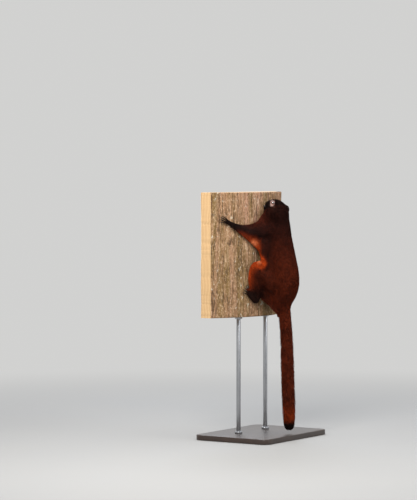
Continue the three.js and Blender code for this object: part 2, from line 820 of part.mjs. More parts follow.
for (const [word, pose] of Object.entries(POSE)) {
  const clear = (make) => make(pose, GAP);
  const [armClear, foreClear, thighClear, shankClear] = [upperArm, forearm, thigh, shank].map(clear);
  const [handClear, footClear] = [hand, foot].map(clear);
  const body = [torsoClear, neckClear];
  add("upper_arm_" + word, largest(cut(upperArm(pose, 0), ...body)), "coat");
  add("forearm_" + word, largest(cut(forearm(pose, 0), armClear, ...body)), "coat");
  add("hand_" + word, largest(cut(hand(pose), foreClear, trunkClear)), "skin");
  add("thigh_" + word, largest(cut(thigh(pose, 0), ...body)), "coat");
  add("shank_" + word, largest(cut(shank(pose, 0), thighClear, ...body)), "coat");
  add("foot_" + word, largest(cut(foot(pose), shankClear, thighClear, trunkClear)), "skin");
  const limbs = [...body, armClear, foreClear, handClear, thighClear, shankClear, footClear, trunkClear];
  add("neck_membrane_" + word, neckMembrane(pose, ...limbs, headClear), "coat");
  add("flank_membrane_" + word, flankMembrane(pose, ...limbs), "membrane");
  add("tail_membrane_" + word, tailMembrane(pose, ...limbs, tailClear), "coat");
}

export default model;
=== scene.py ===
"""A giant flying squirrel clinging head up to a slab of tree trunk, on a plain museum stand."""
import math

import bmesh
import bpy
import numpy as np
from bpy.props import FloatProperty, FloatVectorProperty, IntProperty, PointerProperty
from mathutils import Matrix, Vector, noise
from mathutils.bvhtree import BVHTree
from mathutils.kdtree import KDTree


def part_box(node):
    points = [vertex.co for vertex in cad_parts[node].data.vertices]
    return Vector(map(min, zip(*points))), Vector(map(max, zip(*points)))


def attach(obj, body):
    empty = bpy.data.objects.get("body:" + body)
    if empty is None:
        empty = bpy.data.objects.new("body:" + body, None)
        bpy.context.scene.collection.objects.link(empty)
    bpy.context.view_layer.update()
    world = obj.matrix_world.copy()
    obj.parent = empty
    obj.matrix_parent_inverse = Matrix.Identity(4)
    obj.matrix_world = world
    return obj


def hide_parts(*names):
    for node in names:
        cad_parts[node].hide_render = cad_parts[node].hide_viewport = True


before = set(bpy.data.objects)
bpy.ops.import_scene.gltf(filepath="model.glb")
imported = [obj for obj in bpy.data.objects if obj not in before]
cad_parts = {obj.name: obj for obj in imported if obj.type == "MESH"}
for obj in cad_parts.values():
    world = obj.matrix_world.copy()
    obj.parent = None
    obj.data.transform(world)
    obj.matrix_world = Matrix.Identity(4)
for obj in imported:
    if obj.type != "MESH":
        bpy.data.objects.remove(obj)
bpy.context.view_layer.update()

bl_info = {
    "name": "Flying Squirrel Display Model",
    "version": (1, 0, 0),
    "blender": (4, 5, 0),
    "location": "3D View > Sidebar > Squirrel",
    "description": "Dresses the solids of a clinging flying squirrel, its perch and its stand",
    "category": "Object",
}

MM = 0.001
UP = Vector((0, 0, 1))
SPACING_SCALE, WIDTH_SCALE, TAIL_SCALE = ((1, 1, 1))

# Places on the bark are [arc to the side, off the bark, height] in millimetres, for the left side.
TRUNK_RADIUS = 385
BARK_Y = -20
SIDES = {"left": 1, "right": -1}
POSE = {
    "left": {
        "shoulder": (33, 49, 783), "elbow": (105, 22, 773), "wrist": (188, 10, 806), "hand_turn": 25,
        "hip": (30, 62, 575), "knee": (82, 31, 626), "ankle": (73, 14, 528),
        "heel": (72, 0, 516), "foot_turn": 44,
    },
    "right": {
        "shoulder": (33, 49, 786), "elbow": (101, 23, 800), "wrist": (172, 11, 842), "hand_turn": 30,
        "hip": (30, 62, 572), "knee": (84, 31, 612), "ankle": (74, 14, 513),
        "heel": (73, 0, 497), "foot_turn": 50,
    },
}
# The membrane's rim from the wrist down towards the ankle.
RIM = [
    (190, 9, 800), (165, 9.5, 780), (134, 10, 758), (107, 11, 738), (84, 13.5, 721),
    (65, 17.5, 702), (60, 21, 677), (57, 26, 661), (76, 28, 664), (96, 24, 662),
    (109, 18, 646), (113, 14, 618), (113, 11, 590), (103, 9, 562),
]
# How far the orange reaches in from each point of the rim, in millimetres, and how strong it is there.
RIM_GLOW = (4, 10, 19, 27, 22, 8, 6, 11, 20, 22, 20, 17, 15, 9)
RIM_FIRE = (0.1, 0.22, 0.38, 0.66, 0.95, 0.7, 0.55, 0.8, 1, 1, 0.95, 0.85, 0.65, 0.3)
# Painted highlights, the lightest spots under the arm and in the curl at the knee: a line, and its half-width
# at each point.
PAINTED_HIGHLIGHTS = (([(99, 17, 737), (90, 18, 729)], (15, 13)), ([(85, 35, 664), (82, 36, 660)], (9, 9)))
# The rolled rim of the membrane as it curls in over the knee.
KNEE_CURL = [(64, 21, 685), (60, 31, 672), (65, 41, 658), (73, 41, 645), (82, 38, 643), (90, 32, 648)]
KNEE_GLOW = (4, 7, 11, 11, 11, 10)
# Folds of the coat at the knee: a line, its half-width and depth in millimetres, and how dark the painted
# shade in it is.
FOLDS_AND_SHADE = (
    ([(60, 29, 700), (52, 36, 685), (46, 45, 670), (52, 52, 648), (68, 52, 629), (86, 44, 627),
      (98, 30, 627)], 8, 3.2, 0.7),
    ([(88, 42, 628), (90, 39, 608), (84, 35, 582), (70, 29, 559)], 7.5, 4, 0.8),
    ([(107, 24, 640), (106, 20, 610), (106, 15, 580)], 3.5, 1.2, 0.45),
)
# Painted shade: the grey-brown band of shade along the arm and down the flank where the membrane folds, and
# how strong it is at each point.
FLANK_SHADE_LINE = [
    (160, 16, 790), (118, 22, 776), (84, 30, 766), (62, 36, 745), (54, 38, 716), (52, 40, 690), (52, 44, 668),
]
FLANK_SHADE_STRENGTH = (1, 1, 1, 0.95, 0.8, 0.75, 0.65)
# The pale ring round the eye, partly pale hair and partly a painted highlight of the eye's reflection: its
# middle behind the nose tip and above the muzzle, half its width and height.
EYE_RING_AND_HIGHLIGHT = (28.2, 19.2, 6.4, 12.4)
# Stations up the tail: [height, off the bark, radius of the coat]
TAIL = [
    (31, 102, 3), (36, 102, 12), (43, 102, 18), (51, 102, 21), (90, 101.5, 25), (142, 99.5, 26.5),
    (217, 96, 26.5), (292, 93.5, 26.5), (349, 91.5, 25.5), (405, 88, 24.5), (461, 82, 25), (500, 75, 30),
]
# The thickest that the tail's core under the coat may be, in metres.
TAIL_CORE_LIMIT = 0.014
HEAD_YAW = math.radians(43)
FORWARD = Vector((-math.sin(HEAD_YAW), math.cos(HEAD_YAW), 0))
HEAD_LEFT = UP.cross(FORWARD)
NOSE_TIP = Vector((-36.5, BARK_Y - 12, 863))
# Stations along the head: [behind the nose tip, top, bottom, half-width]
HEAD = [
    (3.5, 10, -10, 9.5), (8, 14.5, -13.5, 13), (14, 19.5, -15.5, 16), (20, 26, -16.5, 19),
    (28, 31, -17.5, 23.5), (38, 33.5, -19.5, 27), (50, 32, -21.5, 28.5), (62, 26, -22, 27.5),
    (74, 17, -20, 22),
]
# Places on the head: [behind the nose tip, to the left, above the muzzle's middle]
EYE_PLACE = (31, 18.6, 19.5)
NOSE_PLACE = (4.6, 0, 6.4)
NOSE_FRONT = (4.0, 0, 6.4)
CHEEK_PLACE = (34, 24, 1)
EYE_RADIUS = 7.6
# No tuft is rooted this near the eye's middle or the nose's front, in metres.
BARE_ROUND_EYE = 0.0086
BARE_ROUND_NOSE = 0.0062
# For hand and foot: where the digits start ahead of the root, their radius, and each one's place across, turn
# in degrees and length.
DIGITS = {
    "hand": (16, 2.1, [(-5.2, -14, 18), (-1.8, -4, 22.5), (1.9, 6, 23.5), (5.4, 16, 19.5)]),
    "foot": (46, 2.4, [(-9.8, -20, 15), (-4.9, -8, 20), (0, 0, 22), (4.9, 6, 20), (9.6, 13, 15)]),
}
# Along a digit: [share of its length, height off the bark, share of its radius]
DIGIT_PROFILE = (
    (-0.1, 8, 1.15), (0.15, 9.4, 1.0), (0.4, 10.2, 1.12), (0.65, 9.2, 0.94), (0.85, 7.4, 1.05), (1, 5.8, 0.9),
)
CLAW_LENGTH = 9

# The coat by the name of what it grows on: [depth, tuft length, tuft width, spacing] in millimetres.
COAT = {
    "torso": (6, 14.5, 1.25, 1.46), "neck": (6, 14, 1.22, 1.44),
    "head": (3.2, 8.5, 0.9, 1.04), "ear": (0.5, 4, 0.7, 1.1),
    "upper_arm": (4.5, 13, 1.15, 1.4), "forearm": (2.6, 9, 1.0, 1.22), "hand": (0.6, 3.6, 0.6, 0.95),
    "thigh": (5.5, 14, 1.25, 1.5), "shank": (3.5, 10, 1.1, 1.38), "foot": (0.7, 4, 0.7, 1.05),
    "neck_membrane": (1, 9, 1.1, 1.5), "flank_membrane": (1, 9, 1.1, 1.57),
    "tail_membrane": (1.2, 12, 1.2, 1.57), "tail": (3, 16, 2, 2.4),
}
# How wide the creases are that the skin bridges on each, in millimetres.
BRIDGE = {
    "torso": 10, "neck": 10, "upper_arm": 9, "thigh": 9, "forearm": 5, "shank": 6, "head": 6, "tail": 6,
    "neck_membrane": 8, "flank_membrane": 9, "tail_membrane": 8,
}
# What keeps its own hair length, its own lie and its fine form.
SMALL_PARTS = ("hand", "foot", "ear")
# The markings, and how many rounds each one is blurred by on the skin. Among them are painted light and
# shade: the painted highlight on the membranes, the painted shade of the flank and of the knee's folds, and
# the painted highlight in the pale eye ring.
MARK_BLUR = {"orange": 4, "black": 3, "grey": 40, "red": 50, "pale": 3, "hot": 6}
# The dark ends of the limbs: how dark, and how far from the joint that starts and is full, in metres.
DARK_ENDS = {"wrist": (0.9, 0.050, 0.014), "ankle": (0.8, 0.062, 0.020)}
# How red the coat is where it doesn't follow the back.
REDNESS = {
    "tail": 1.0, "tail_membrane": 1.0, "upper_arm": 0.12, "forearm": 0.12, "neck_membrane": 0.45,
    "thigh": 0.75, "shank": 0.75,
}
# What in the pose holds the root and the turn of a hand or foot.
LIMB_ENDS = {"hand": ("wrist", "hand_turn"), "foot": ("heel", "foot_turn")}
FLESH = sorted(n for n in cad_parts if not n.startswith(("stand_", "perch_", "eye_")))
COAT_PIECES = {
    "coat_head": ("head", "ear_left", "ear_right"),
    "coat_neck": ("neck",),
    "coat_shoulders": ("torso",),
    "coat_back": ("torso",),
    "coat_rump": ("torso",),
    "coat_arm_left": ("upper_arm_left", "forearm_left", "hand_left"),
    "coat_arm_right": ("upper_arm_right", "forearm_right", "hand_right"),
    "coat_leg_left": ("thigh_left", "shank_left", "foot_left"),
    "coat_leg_right": ("thigh_right", "shank_right", "foot_right"),
    "coat_web_left": ("neck_membrane_left", "flank_membrane_left", "tail_membrane_left"),
    "coat_web_right": ("neck_membrane_right", "flank_membrane_right", "tail_membrane_right"),
}
# The heights between which each part of the torso's coat is rooted, in metres.
BACK_SPLITS = {"coat_shoulders": (0.715, 1), "coat_back": (0.607, 0.715), "coat_rump": (0, 0.607)}
# The share of a tuft's width at each of its rings, from the root.
TUFT_SHAPE = (0.62, 1.0, 0.72)
# The size of each tuft's own patch on the OFBake map.
BAKE_PATCH = 0.003
# In the noise along a tuft's strands: how far one tuft reaches, the step to the next one, and where it wraps.
STRAND_REACH, STRAND_STEP, STRAND_WRAP = 5, 3.7, 997
# The size of the cells by which tufts are put in order, in metres.
CELL = 0.003


def on_bark(place, side=1):
    """A point over the bark, in metres."""
    arc, off, z = place
    turn = side * arc / TRUNK_RADIUS
    r = TRUNK_RADIUS + off
    return Vector((-r * math.sin(turn), BARK_Y + TRUNK_RADIUS - r * math.cos(turn), z)) * MM


def on_head(behind, left, above):
    """A point of the head, in metres: behind the nose tip, to the head's left, above the muzzle's middle."""
    return (NOSE_TIP - FORWARD * behind + HEAD_LEFT * left + UP * above) * MM


def over_bark(side, root, turn, forward, across, off):
    """A step over the bark from the root of a hand or foot."""
    arc, _, z = root
    c, s = math.cos(math.radians(turn)), math.sin(math.radians(turn))
    return on_bark((arc + forward * c - across * s, off, z + forward * s + across * c), side)


def pose_of(side):
    """The places of the limbs on one side."""
    return POSE["left" if side > 0 else "right"]


def limb_end(kind, side):
    """The root of a hand or foot, and its turn over the bark in degrees."""
    return tuple(pose_of(side)[key] for key in LIMB_ENDS[kind])


def digit_steps(kind, side):
    """For each digit, its length and a function from a share of that and a height off the bark to a point."""
    root, turn = limb_end(kind, side)
    start, _, digits = DIGITS[kind]
    steps = []
    for across, spread_turn, length in digits:
        c, s = math.cos(math.radians(spread_turn)), math.sin(math.radians(spread_turn))

        def reach(share, off, c=c, s=s, across=across, length=length):
            return over_bark(side, root, turn, start + length * share * c, across + length * share * s, off)

        steps.append((length, reach))
    return steps


def linear(rgb):
    """A colour from 0 to 255 as a shader's linear one."""
    shares = [v / 255 for v in rgb]
    return [(v / 12.92 if v < 0.0404 else ((v + 0.055) / 1.055) ** 2.4) for v in shares] + [1]


def smooth_step(low, high, values):
    """0 at low, 1 at high and smooth between them. low may be the larger one."""
    t = np.clip((values - low) / (high - low), 0, 1)
    return t * t * (3 - 2 * t)


# Objects and meshes


def only(*objects):
    """Selects these objects alone and makes the first one active."""
    bpy.ops.object.select_all(action="DESELECT")
    for one in objects:
        one.select_set(True)
    bpy.context.view_layer.objects.active = objects[0]
    return objects[0]


def primitive(kind, **settings):
    """A new primitive, selected alone."""
    bpy.ops.object.select_all(action="DESELECT")
    getattr(bpy.ops.mesh, f"primitive_{kind}_add")(**settings)
    return bpy.context.object


def apply_modifier(piece, kind, **settings):
    only(piece)
    bpy.ops.object.modifier_add(type=kind)
    modifier = piece.modifiers[-1]
    for key, value in settings.items():
        setattr(modifier, key, value)
    bpy.ops.object.modifier_apply(modifier=modifier.name)


def soften(piece, width, segments):
    """Rounds a piece's sharp edges."""
    apply_modifier(piece, "BEVEL", width=width, segments=segments, limit_method="ANGLE",
                   angle_limit=math.radians(50))


def settle(piece):
    """Puts a piece's place, turn and size into its mesh."""
    only(piece)
    bpy.ops.object.transform_apply(location=True, rotation=True, scale=True)
    return piece


def finish_piece(piece, name, finish, replaced=(), smooth=40):
    """Names a piece, gives it its finish and ties it to the frame."""
    piece.name = piece.data.name = name
    if finish is not None:
        piece.data.materials.clear()
        piece.data.materials.append(finish)
    if smooth:
        only(piece)
        bpy.ops.object.shade_smooth_by_angle(angle=math.radians(smooth))
    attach(piece, "root")
    if replaced:
        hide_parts(*replaced)
    return piece


def face_outwards(piece, merge=1e-5):
    """Merges doubles and turns every face outwards."""
    only(piece)
    bpy.ops.object.mode_set(mode="EDIT")
    bpy.ops.mesh.select_all(action="SELECT")
    bpy.ops.mesh.remove_doubles(threshold=merge)
    bpy.ops.mesh.normals_make_consistent(inside=False)
    bpy.ops.object.mode_set(mode="OBJECT")
    return piece


def join(pieces):
    only(*pieces)
    bpy.ops.object.join()
    return bpy.context.view_layer.objects.active


def read(elements, key, width):
    """A property of a mesh's elements as an array of numbers, or of vectors."""
    values = np.zeros(len(elements) * width, np.float32)
    elements.foreach_get(key, values)
    return values.reshape(-1, width).astype(float) if width > 1 else values.astype(float)


def points_of(mesh):
    return read(mesh.vertices, "co", 3)


def put_points(mesh, points):
    mesh.vertices.foreach_set("co", np.asarray(points, np.float32).ravel())
    mesh.update()


def indices(elements, key, width):
    """A property of a mesh's elements as rows of whole numbers."""
    values = np.zeros(len(elements) * width, np.int32)
    elements.foreach_get(key, values)
    return values.reshape(-1, width)


def write_field(mesh, name, values):
    """Keeps one number, or one vector, for each vertex."""
    vector = values.ndim == 2
    made = mesh.attributes.new(name, "FLOAT_VECTOR" if vector else "FLOAT", "POINT")
    made.data.foreach_set("vector" if vector else "value", np.asarray(values, np.float32).ravel())


def read_field(mesh, name, width=1):
    return read(mesh.attributes[name].data, "vector" if width == 3 else "value", width)


def tapered_tube(points, radii, sides=8, smoothness=4):
    """A closed tube through points, with a radius at each."""
    curve = bpy.data.curves.new("tube", "CURVE")
    curve.dimensions = "3D"
    curve.bevel_depth = 1
    curve.bevel_resolution = max(0, sides // 2 - 2)
    curve.use_fill_caps = True
    curve.resolution_u = smoothness
    spline = curve.splines.new("NURBS")
    spline.points.add(len(points) - 1)
    spline.order_u = min(4, len(points))
    spline.use_endpoint_u = True
    for point, place, radius in zip(spline.points, points, radii):
        point.co = (*place, 1)
        point.radius = radius
    tube = bpy.data.objects.new("tube", curve)
    bpy.context.collection.objects.link(tube)
    only(tube)
    bpy.ops.object.convert(target="MESH")
    return face_outwards(bpy.context.view_layer.objects.active)


def neighbour_mean(values, edges):
    """The mean of each vertex's neighbours."""
    a, b = edges.T
    n = len(values)
    count = np.maximum(1, np.bincount(a, minlength=n) + np.bincount(b, minlength=n))
    columns = values.reshape(n, -1).T
    total = [np.bincount(a, c[b], n) + np.bincount(b, c[a], n) for c in columns]
    return (np.stack(total, 1) / count[:, None]).reshape(values.shape)


def spread(values, edges, rounds):
    """Blurs a field over the mesh."""
    for _ in range(rounds):
        values = 0.4 * values + 0.6 * neighbour_mean(values, edges)
    return values


def relax(points, edges, weight, rounds):
    """Smooths points without shrinking the form."""
    for _ in range(rounds):
        for factor in (0.6, -0.62):
            points = points + factor * weight[:, None] * (neighbour_mean(points, edges) - points)
    return points


def unit(vectors):
    """Vectors at length 1."""
    return vectors / np.maximum(1e-9, np.linalg.norm(vectors, axis=-1, keepdims=True))


def smooth_normals(mesh, edges, rounds=2):
    """The normals at a mesh's vertices, a little blurred."""
    return unit(spread(read(mesh.vertex_normals, "vector", 3), edges, rounds))


def near_line(points, line, values=None):
    """The distance of points from a line of points, and a value read along it at the nearest place."""
    best = np.full(len(points), 1e9)
    found = np.zeros(len(points))
    for i, (a, b) in enumerate(zip(line[:-1], line[1:])):
        a, b = np.array(a), np.array(b)
        t = np.clip(((points - a) @ (b - a)) / ((b - a) @ (b - a)), 0, 1)
        distance = np.linalg.norm(points - a - t[:, None] * (b - a), axis=1)
        nearer = distance < best
        best = np.where(nearer, distance, best)
        if values is not None:
            found = np.where(nearer, values[i] + t * (values[i + 1] - values[i]), found)
    return best, found


# Finishes


class Wire:
    """A value between shader nodes. Python arithmetic on it adds Math nodes."""

    def __init__(self, finish, socket):
        self.finish = finish
        self.socket = socket

    def maths(self, operation, *values):
        return self.finish.node("ShaderNodeMath", {"operation": operation}, dict(enumerate(values)))

    def __add__(self, other):
        return self.maths("ADD", self, other)

    def __sub__(self, other):
        return self.maths("SUBTRACT", self, other)

    def __rsub__(self, other):
        return self.maths("SUBTRACT", other, self)

    def __mul__(self, other):
        return self.maths("MULTIPLY", self, other)

    __radd__ = __add__
    __rmul__ = __mul__

    def band(self, low, high):
        """0 below low, 1 above high, and smooth between."""
        settings = {"interpolation_type": "SMOOTHSTEP"}
        sockets = {"Value": self, "From Min": low, "From Max": high}
        return self.finish.node("ShaderNodeMapRange", settings, sockets)


class Finish:
    """A material under construction, with its constant values on the shader's own sockets."""

    def __init__(self, name, **constants):
        self.material = bpy.data.materials.new(name)
        self.material.use_nodes = True
        self.tree = self.material.node_tree
        self.shader = self.tree.nodes["Principled BSDF"]
        for key, value in constants.items():
            self.shader.inputs[key.replace("_", " ")].default_value = value

    def node(self, kind, settings=None, sockets=None, output=0):
        made = self.tree.nodes.new(kind)
        for key, value in (settings or {}).items():
            setattr(made, key, value)
        for key, value in (sockets or {}).items():
            if isinstance(value, Wire):
                self.tree.links.new(value.socket, made.inputs[key])
            else:
                made.inputs[key].default_value = value
        return Wire(self, made.outputs[output])

    def place(self, stretch=(1, 1, 1), move=(0, 0, 0)):
        """The object's own coordinates, moved and stretched."""
        plain = self.node("ShaderNodeTexCoord", output="Object")
        sockets = {"Vector": plain, "Location": move, "Scale": stretch}
        return self.node("ShaderNodeMapping", None, sockets)

    def noise(self, scale, stretch=(1, 1, 1), detail=3, roughness=0.55, warp=0):
        sockets = {
            "Vector": self.place(stretch), "Scale": scale, "Detail": detail, "Roughness": roughness,
            "Distortion": warp,
        }
        return self.node("ShaderNodeTexNoise", None, sockets)

    def field(self, name):
        """What a piece's mesh holds under a name."""
        return self.node("ShaderNodeAttribute", {"attribute_name": name}, output="Fac")

    def mix(self, factor, a, b, blend="MIX"):
        settings = {"data_type": "RGBA", "blend_type": blend}
        return self.node("ShaderNodeMix", settings, {0: factor, 6: a, 7: b}, output=2)

    def set(self, key, value):
        self.tree.links.new(value.socket, self.shader.inputs[key])

    def bump(self, height, strength, distance):
        sockets = {"Height": height, "Strength": strength, "Distance": distance}
        self.set("Normal", self.node("ShaderNodeBump", None, sockets))


def coat_finish(name, colours, is_skin=False):
    """Fur: the same markings on the skin and on the tufts over it, with painted highlights and painted shade
    among them.
    """
    finish = Finish(name, Specular_IOR_Level=0.06)
    patches = finish.noise(26, detail=4, roughness=0.6)
    streaks = finish.noise(120, (1, 1, 0.22), detail=3, roughness=0.6)
    flecks = finish.noise(700, (1, 1, 0.16), detail=2)
    colour = finish.mix(finish.field("red") * (0.35 + 1.1 * patches), colours.back, colours.rump)
    # Painted shade along the fold from the arm down the flank, with a little grey on the thighs and shanks.
    colour = finish.mix(finish.field("grey"), colour, colours.flank)
    colour = finish.mix(finish.field("orange") * (0.8 + 0.35 * streaks), colour, colours.membrane)
    # Painted highlight: the orange is made lightest under the arm and in the knee's curl.
    colour = finish.mix(finish.field("hot"), colour, colours.glow)
    # The black mark also carries the painted shade of the knee's folds.
    colour = finish.mix(finish.field("black"), colour, colours.points)
    # Pale eye ring, partly a painted highlight of the eye's reflection.
    colour = finish.mix(finish.field("pale"), colour, colours.ring)
    mottle = finish.noise(75, (1, 1, 0.55), detail=3, roughness=0.65, warp=0.6).band(0.3, 0.7)
    deep, bright = (finish.node("ShaderNodeCombineColor", None, {k: v for k in range(3)}) for v in (0.5, 1.5))
    if is_skin:
        colour = finish.mix(1.0, colour, deep, "MULTIPLY")
        height = flecks
    else:
        strands = finish.node("ShaderNodeTexNoise", {"noise_dimensions": "1D"},
                              {"W": finish.field("strand"), "Scale": 1.0, "Detail": 2.0})
        tone = 0.3 * finish.field("shade") + 0.16 * flecks + 0.16 * streaks + 0.2 * strands + 0.18 * mottle
        colour = finish.mix(1.0, colour, finish.mix(tone.band(0.25, 0.75), deep, bright), "MULTIPLY")
        rooted = finish.mix(finish.field("tip").band(0.0, 0.8), deep, (1, 1, 1, 1))
        colour = finish.mix(1.0, colour, rooted, "MULTIPLY")
        height = strands + 0.5 * flecks
    finish.set("Base Color", colour)
    finish.set("Roughness", 0.5 + 0.3 * flecks)
    finish.bump(height, 0.55, 0.0005)
    return finish.material


# The animal


def tail_station(z):
    """The tail's middle and the radius of its coat at heights in millimetres, in metres."""
    heights, offs, radii = np.array(TAIL, float).T
    centre = np.stack([0 * z, BARK_Y - np.interp(z, heights, offs), z], -1)
    return centre * MM, np.interp(z, heights, radii) * MM


def kind_of(node):
    return node.removesuffix("_left").removesuffix("_right")


def side_of(node):
    return -1 if node.endswith("_right") else 1


def shifted_line(line, side):
    """The left side's line, moved on the right with the arm and the leg."""
    if side > 0:
        return [on_bark(p) for p in line]
    arm = np.subtract(POSE["right"]["wrist"], POSE["left"]["wrist"])
    leg = np.subtract(POSE["right"]["ankle"], POSE["left"]["ankle"])
    moved = []
    for arc, off, z in line:
        by_arm = float(smooth_step(690, 800, np.array(z)))
        by_leg = 1 - float(smooth_step(590, 690, np.array(z)))
        place = (arc + arm[0] * by_arm, off, z + arm[2] * by_arm + leg[2] * by_leg)
        moved.append(on_bark(place, -1))
    return moved


def lie_of(node):
    """The direction that the coat lies in on a node."""
    side = side_of(node)
    pose = pose_of(side)
    outward = Vector((-side, 0.25, 0))
    bone = lambda a, b: (on_bark(pose[b], side) - on_bark(pose[a], side)).normalized()
    turn = {"hand": math.radians(pose["hand_turn"]), "foot": math.radians(pose["foot_turn"])}
    ahead = lambda kind: outward * math.cos(turn[kind]) + UP * math.sin(turn[kind])
    lies = {
        "torso": -UP,
        "neck": -UP,
        "tail": -UP,
        "head": -FORWARD - UP * 0.25,
        "ear": -FORWARD * 0.76 + HEAD_LEFT * 0.62 * side - UP * 0.34,
        "upper_arm": bone("shoulder", "elbow") - UP * 0.3,
        "forearm": bone("elbow", "wrist"),
        "hand": ahead("hand"),
        "thigh": outward * 0.55 - UP,
        "shank": bone("knee", "ankle"),
        "foot": ahead("foot"),
        "neck_membrane": outward - UP * 0.25,
        "flank_membrane": outward * 0.8 - UP,
        "tail_membrane": outward * 0.25 - UP,
    }
    return lies[kind_of(node)].normalized()


def eye_distance(points):
    """The distance to the nearer eye's middle."""
    eyes = [np.array(on_head(EYE_PLACE[0], s * EYE_PLACE[1], EYE_PLACE[2])) for s in (1, -1)]
    return np.minimum(*(np.linalg.norm(points - eye, axis=1) for eye in eyes))


def knee_folds_and_shade(points):
    """How deep the folds at the knees lie at each point, in millimetres, and how dark the painted shade in
    them is.
    """
    deep = np.zeros(len(points))
    dark = np.zeros(len(points))
    for side in SIDES.values():
        for line, half_width, depth, shade in FOLDS_AND_SHADE:
            distance, _ = near_line(points, shifted_line(line, side))
            near = np.exp(-1.5 * (distance / (half_width * MM)) ** 2)
            deep = np.maximum(deep, depth * near)
            dark = np.maximum(dark, shade * near)
    return deep, dark


def line_marks(points):
    """The markings that follow the membranes' rims, the flanks and the ends of the limbs, at each point: the
    orange, the painted shade along the flank, the painted highlights and the dark limb ends.
    """
    orange, grey, hot, black = (np.zeros(len(points)) for _ in range(4))
    for side in SIDES.values():
        rim = shifted_line(RIM, side)
        distance, glow = near_line(points, rim, RIM_GLOW)
        _, fire = near_line(points, rim, RIM_FIRE)
        orange = np.maximum(orange, fire * smooth_step(1.5, 0.25, distance / (glow * MM)))
        distance, glow = near_line(points, shifted_line(KNEE_CURL, side), KNEE_GLOW)
        orange = np.maximum(orange, 0.95 * smooth_step(1.15, 0.6, distance / (glow * MM)))
        # Painted highlights on the orange under the arm and in the knee's curl.
        for line, widths in PAINTED_HIGHLIGHTS:
            distance, glow = near_line(points, shifted_line(line, side), widths)
            hot = np.maximum(hot, smooth_step(1.0, 0.2, distance / (glow * MM)))
        # Painted shade of the fold from the arm down the flank.
        distance, tone = near_line(points, shifted_line(FLANK_SHADE_LINE, side), FLANK_SHADE_STRENGTH)
        grey = np.maximum(grey, tone * smooth_step(0.036, 0.0, distance))
        for joint, (dark, start, full) in DARK_ENDS.items():
            distance = np.linalg.norm(points - np.array(on_bark(pose_of(side)[joint], side)), axis=1)
            black = np.maximum(black, dark * smooth_step(start, full, distance))
    return orange, grey, hot, black


def eye_ring_and_highlight(points, behind):
    """How pale the short hair round the eyes is at each point, partly the hair's own pale tone and partly a
    painted highlight that is brightest at the lower front.
    """
    middle, above, wide, high = EYE_RING_AND_HIGHLIGHT
    level = (points - np.array(NOSE_TIP) * MM) @ np.array(UP) / MM - above
    ring = np.hypot((behind - middle - 0.2 * level) / wide, level / high)
    near_eye = smooth_step(0.022, 0.016, eye_distance(points))
    # Painted highlight: the ring is made lightest at its lower front.
    light = 0.72 - 0.24 * np.tanh(level / 4) + 0.06 * np.tanh((middle - behind) / 4)
    sideways = np.abs((points - np.array(NOSE_TIP) * MM) @ np.array(HEAD_LEFT)) / MM
    return near_eye * smooth_step(1.12, 0.86, ring) * light * smooth_step(4, 12, sideways)


def marks_at(points, normals, kinds):
    """The markings at each point, from 0 to 1, with painted highlights and painted shade among them."""
    z = points[:, 2]
    away = points[:, :2] - np.array((0, (BARK_Y + TRUNK_RADIUS) * MM))
    off_bark = np.linalg.norm(away, axis=1) - TRUNK_RADIUS * MM
    facing = -(normals[:, :2] * unit(away)).sum(1)
    orange, grey, hot, black = line_marks(points)
    # Painted shade in the knee's folds is added to the black mark.
    black = np.maximum(black, knee_folds_and_shade(points)[1])
    furred = np.isin(kinds, ("torso", "thigh", "shank", "forearm", "flank_membrane", "tail_membrane"))
    hidden = smooth_step(0.45, 0.8, facing) * smooth_step(0.034, 0.016, off_bark)
    orange = np.maximum(orange, furred * hidden)
    behind = behind_nose(points)
    throat = (kinds == "head") * smooth_step(0.2, 0.75, -normals[:, 2]) * smooth_step(12, 30, behind)
    orange = np.maximum(orange, 0.6 * throat)
    black = np.maximum(black, np.isin(kinds, ("hand", "foot")) * 0.92)
    black = np.maximum(black, (kinds == "head") * (0.68 + 0.2 * smooth_step(22, 6, behind)))
    black = np.maximum(black, np.isin(kinds, ("torso", "neck")) * 0.3 * smooth_step(0.74, 0.85, z))
    black = np.maximum(black, (kinds == "ear") * 0.6)
    black = np.maximum(black, smooth_step(0.062, 0.050, z))
    red = 0.12 + 0.85 * smooth_step(0.80, 0.63, z)
    for kind, share in REDNESS.items():
        red = np.where(kinds == kind, share, red)
    cheek = smooth_step(0.020, 0.006, np.linalg.norm(points - np.array(on_head(*CHEEK_PLACE)), axis=1))
    red = np.where(kinds == "head", 0.08 + 0.9 * cheek, red)
    red = np.where(kinds == "neck", np.maximum(red, 0.9 * cheek), red)
    black = black * (1 - 0.8 * cheek)
    grey = np.maximum(grey, np.isin(kinds, ("thigh", "shank")) * 0.15)
    # The pale mark: pale hair round the eye, partly a painted highlight.
    pale = (kinds == "head") * eye_ring_and_highlight(points, behind)
    orange = np.clip(orange, 0, 1)
    return {
        "orange": orange, "black": black * (1 - pale), "grey": grey * (1 - orange) * 0.8,
        "red": red, "pale": pale, "hot": hot * orange,
    }


def cut_digits(work, kind, side):
    """Takes the digits off a hand or foot, just beyond the palm. The skin gets slim separate ones instead."""
    root, turn = limb_end(kind, side)
    near, far = (over_bark(side, root, turn, DIGITS[kind][0] + ahead, 0, 6) for ahead in (4, 5))
    everything = [*work.verts, *work.edges, *work.faces]
    bmesh.ops.bisect_plane(work, geom=everything, plane_co=near, plane_no=far - near, clear_outer=True)
    bmesh.ops.holes_fill(work, edges=[e for e in work.edges if e.is_boundary], sides=0)


def slim_digits(grow):
    """The digits of the skin, arched over the bark."""
    digits = []
    for kind, (_, radius, _) in DIGITS.items():
        for side in SIDES.values():
            for _, reach in digit_steps(kind, side):
                path = [reach(share, off) for share, off, _ in DIGIT_PROFILE]
                thick = [radius * swell * MM + grow for _, _, swell in DIGIT_PROFILE]
                digits.append(tapered_tube(path, thick, 10, 4))
    return digits


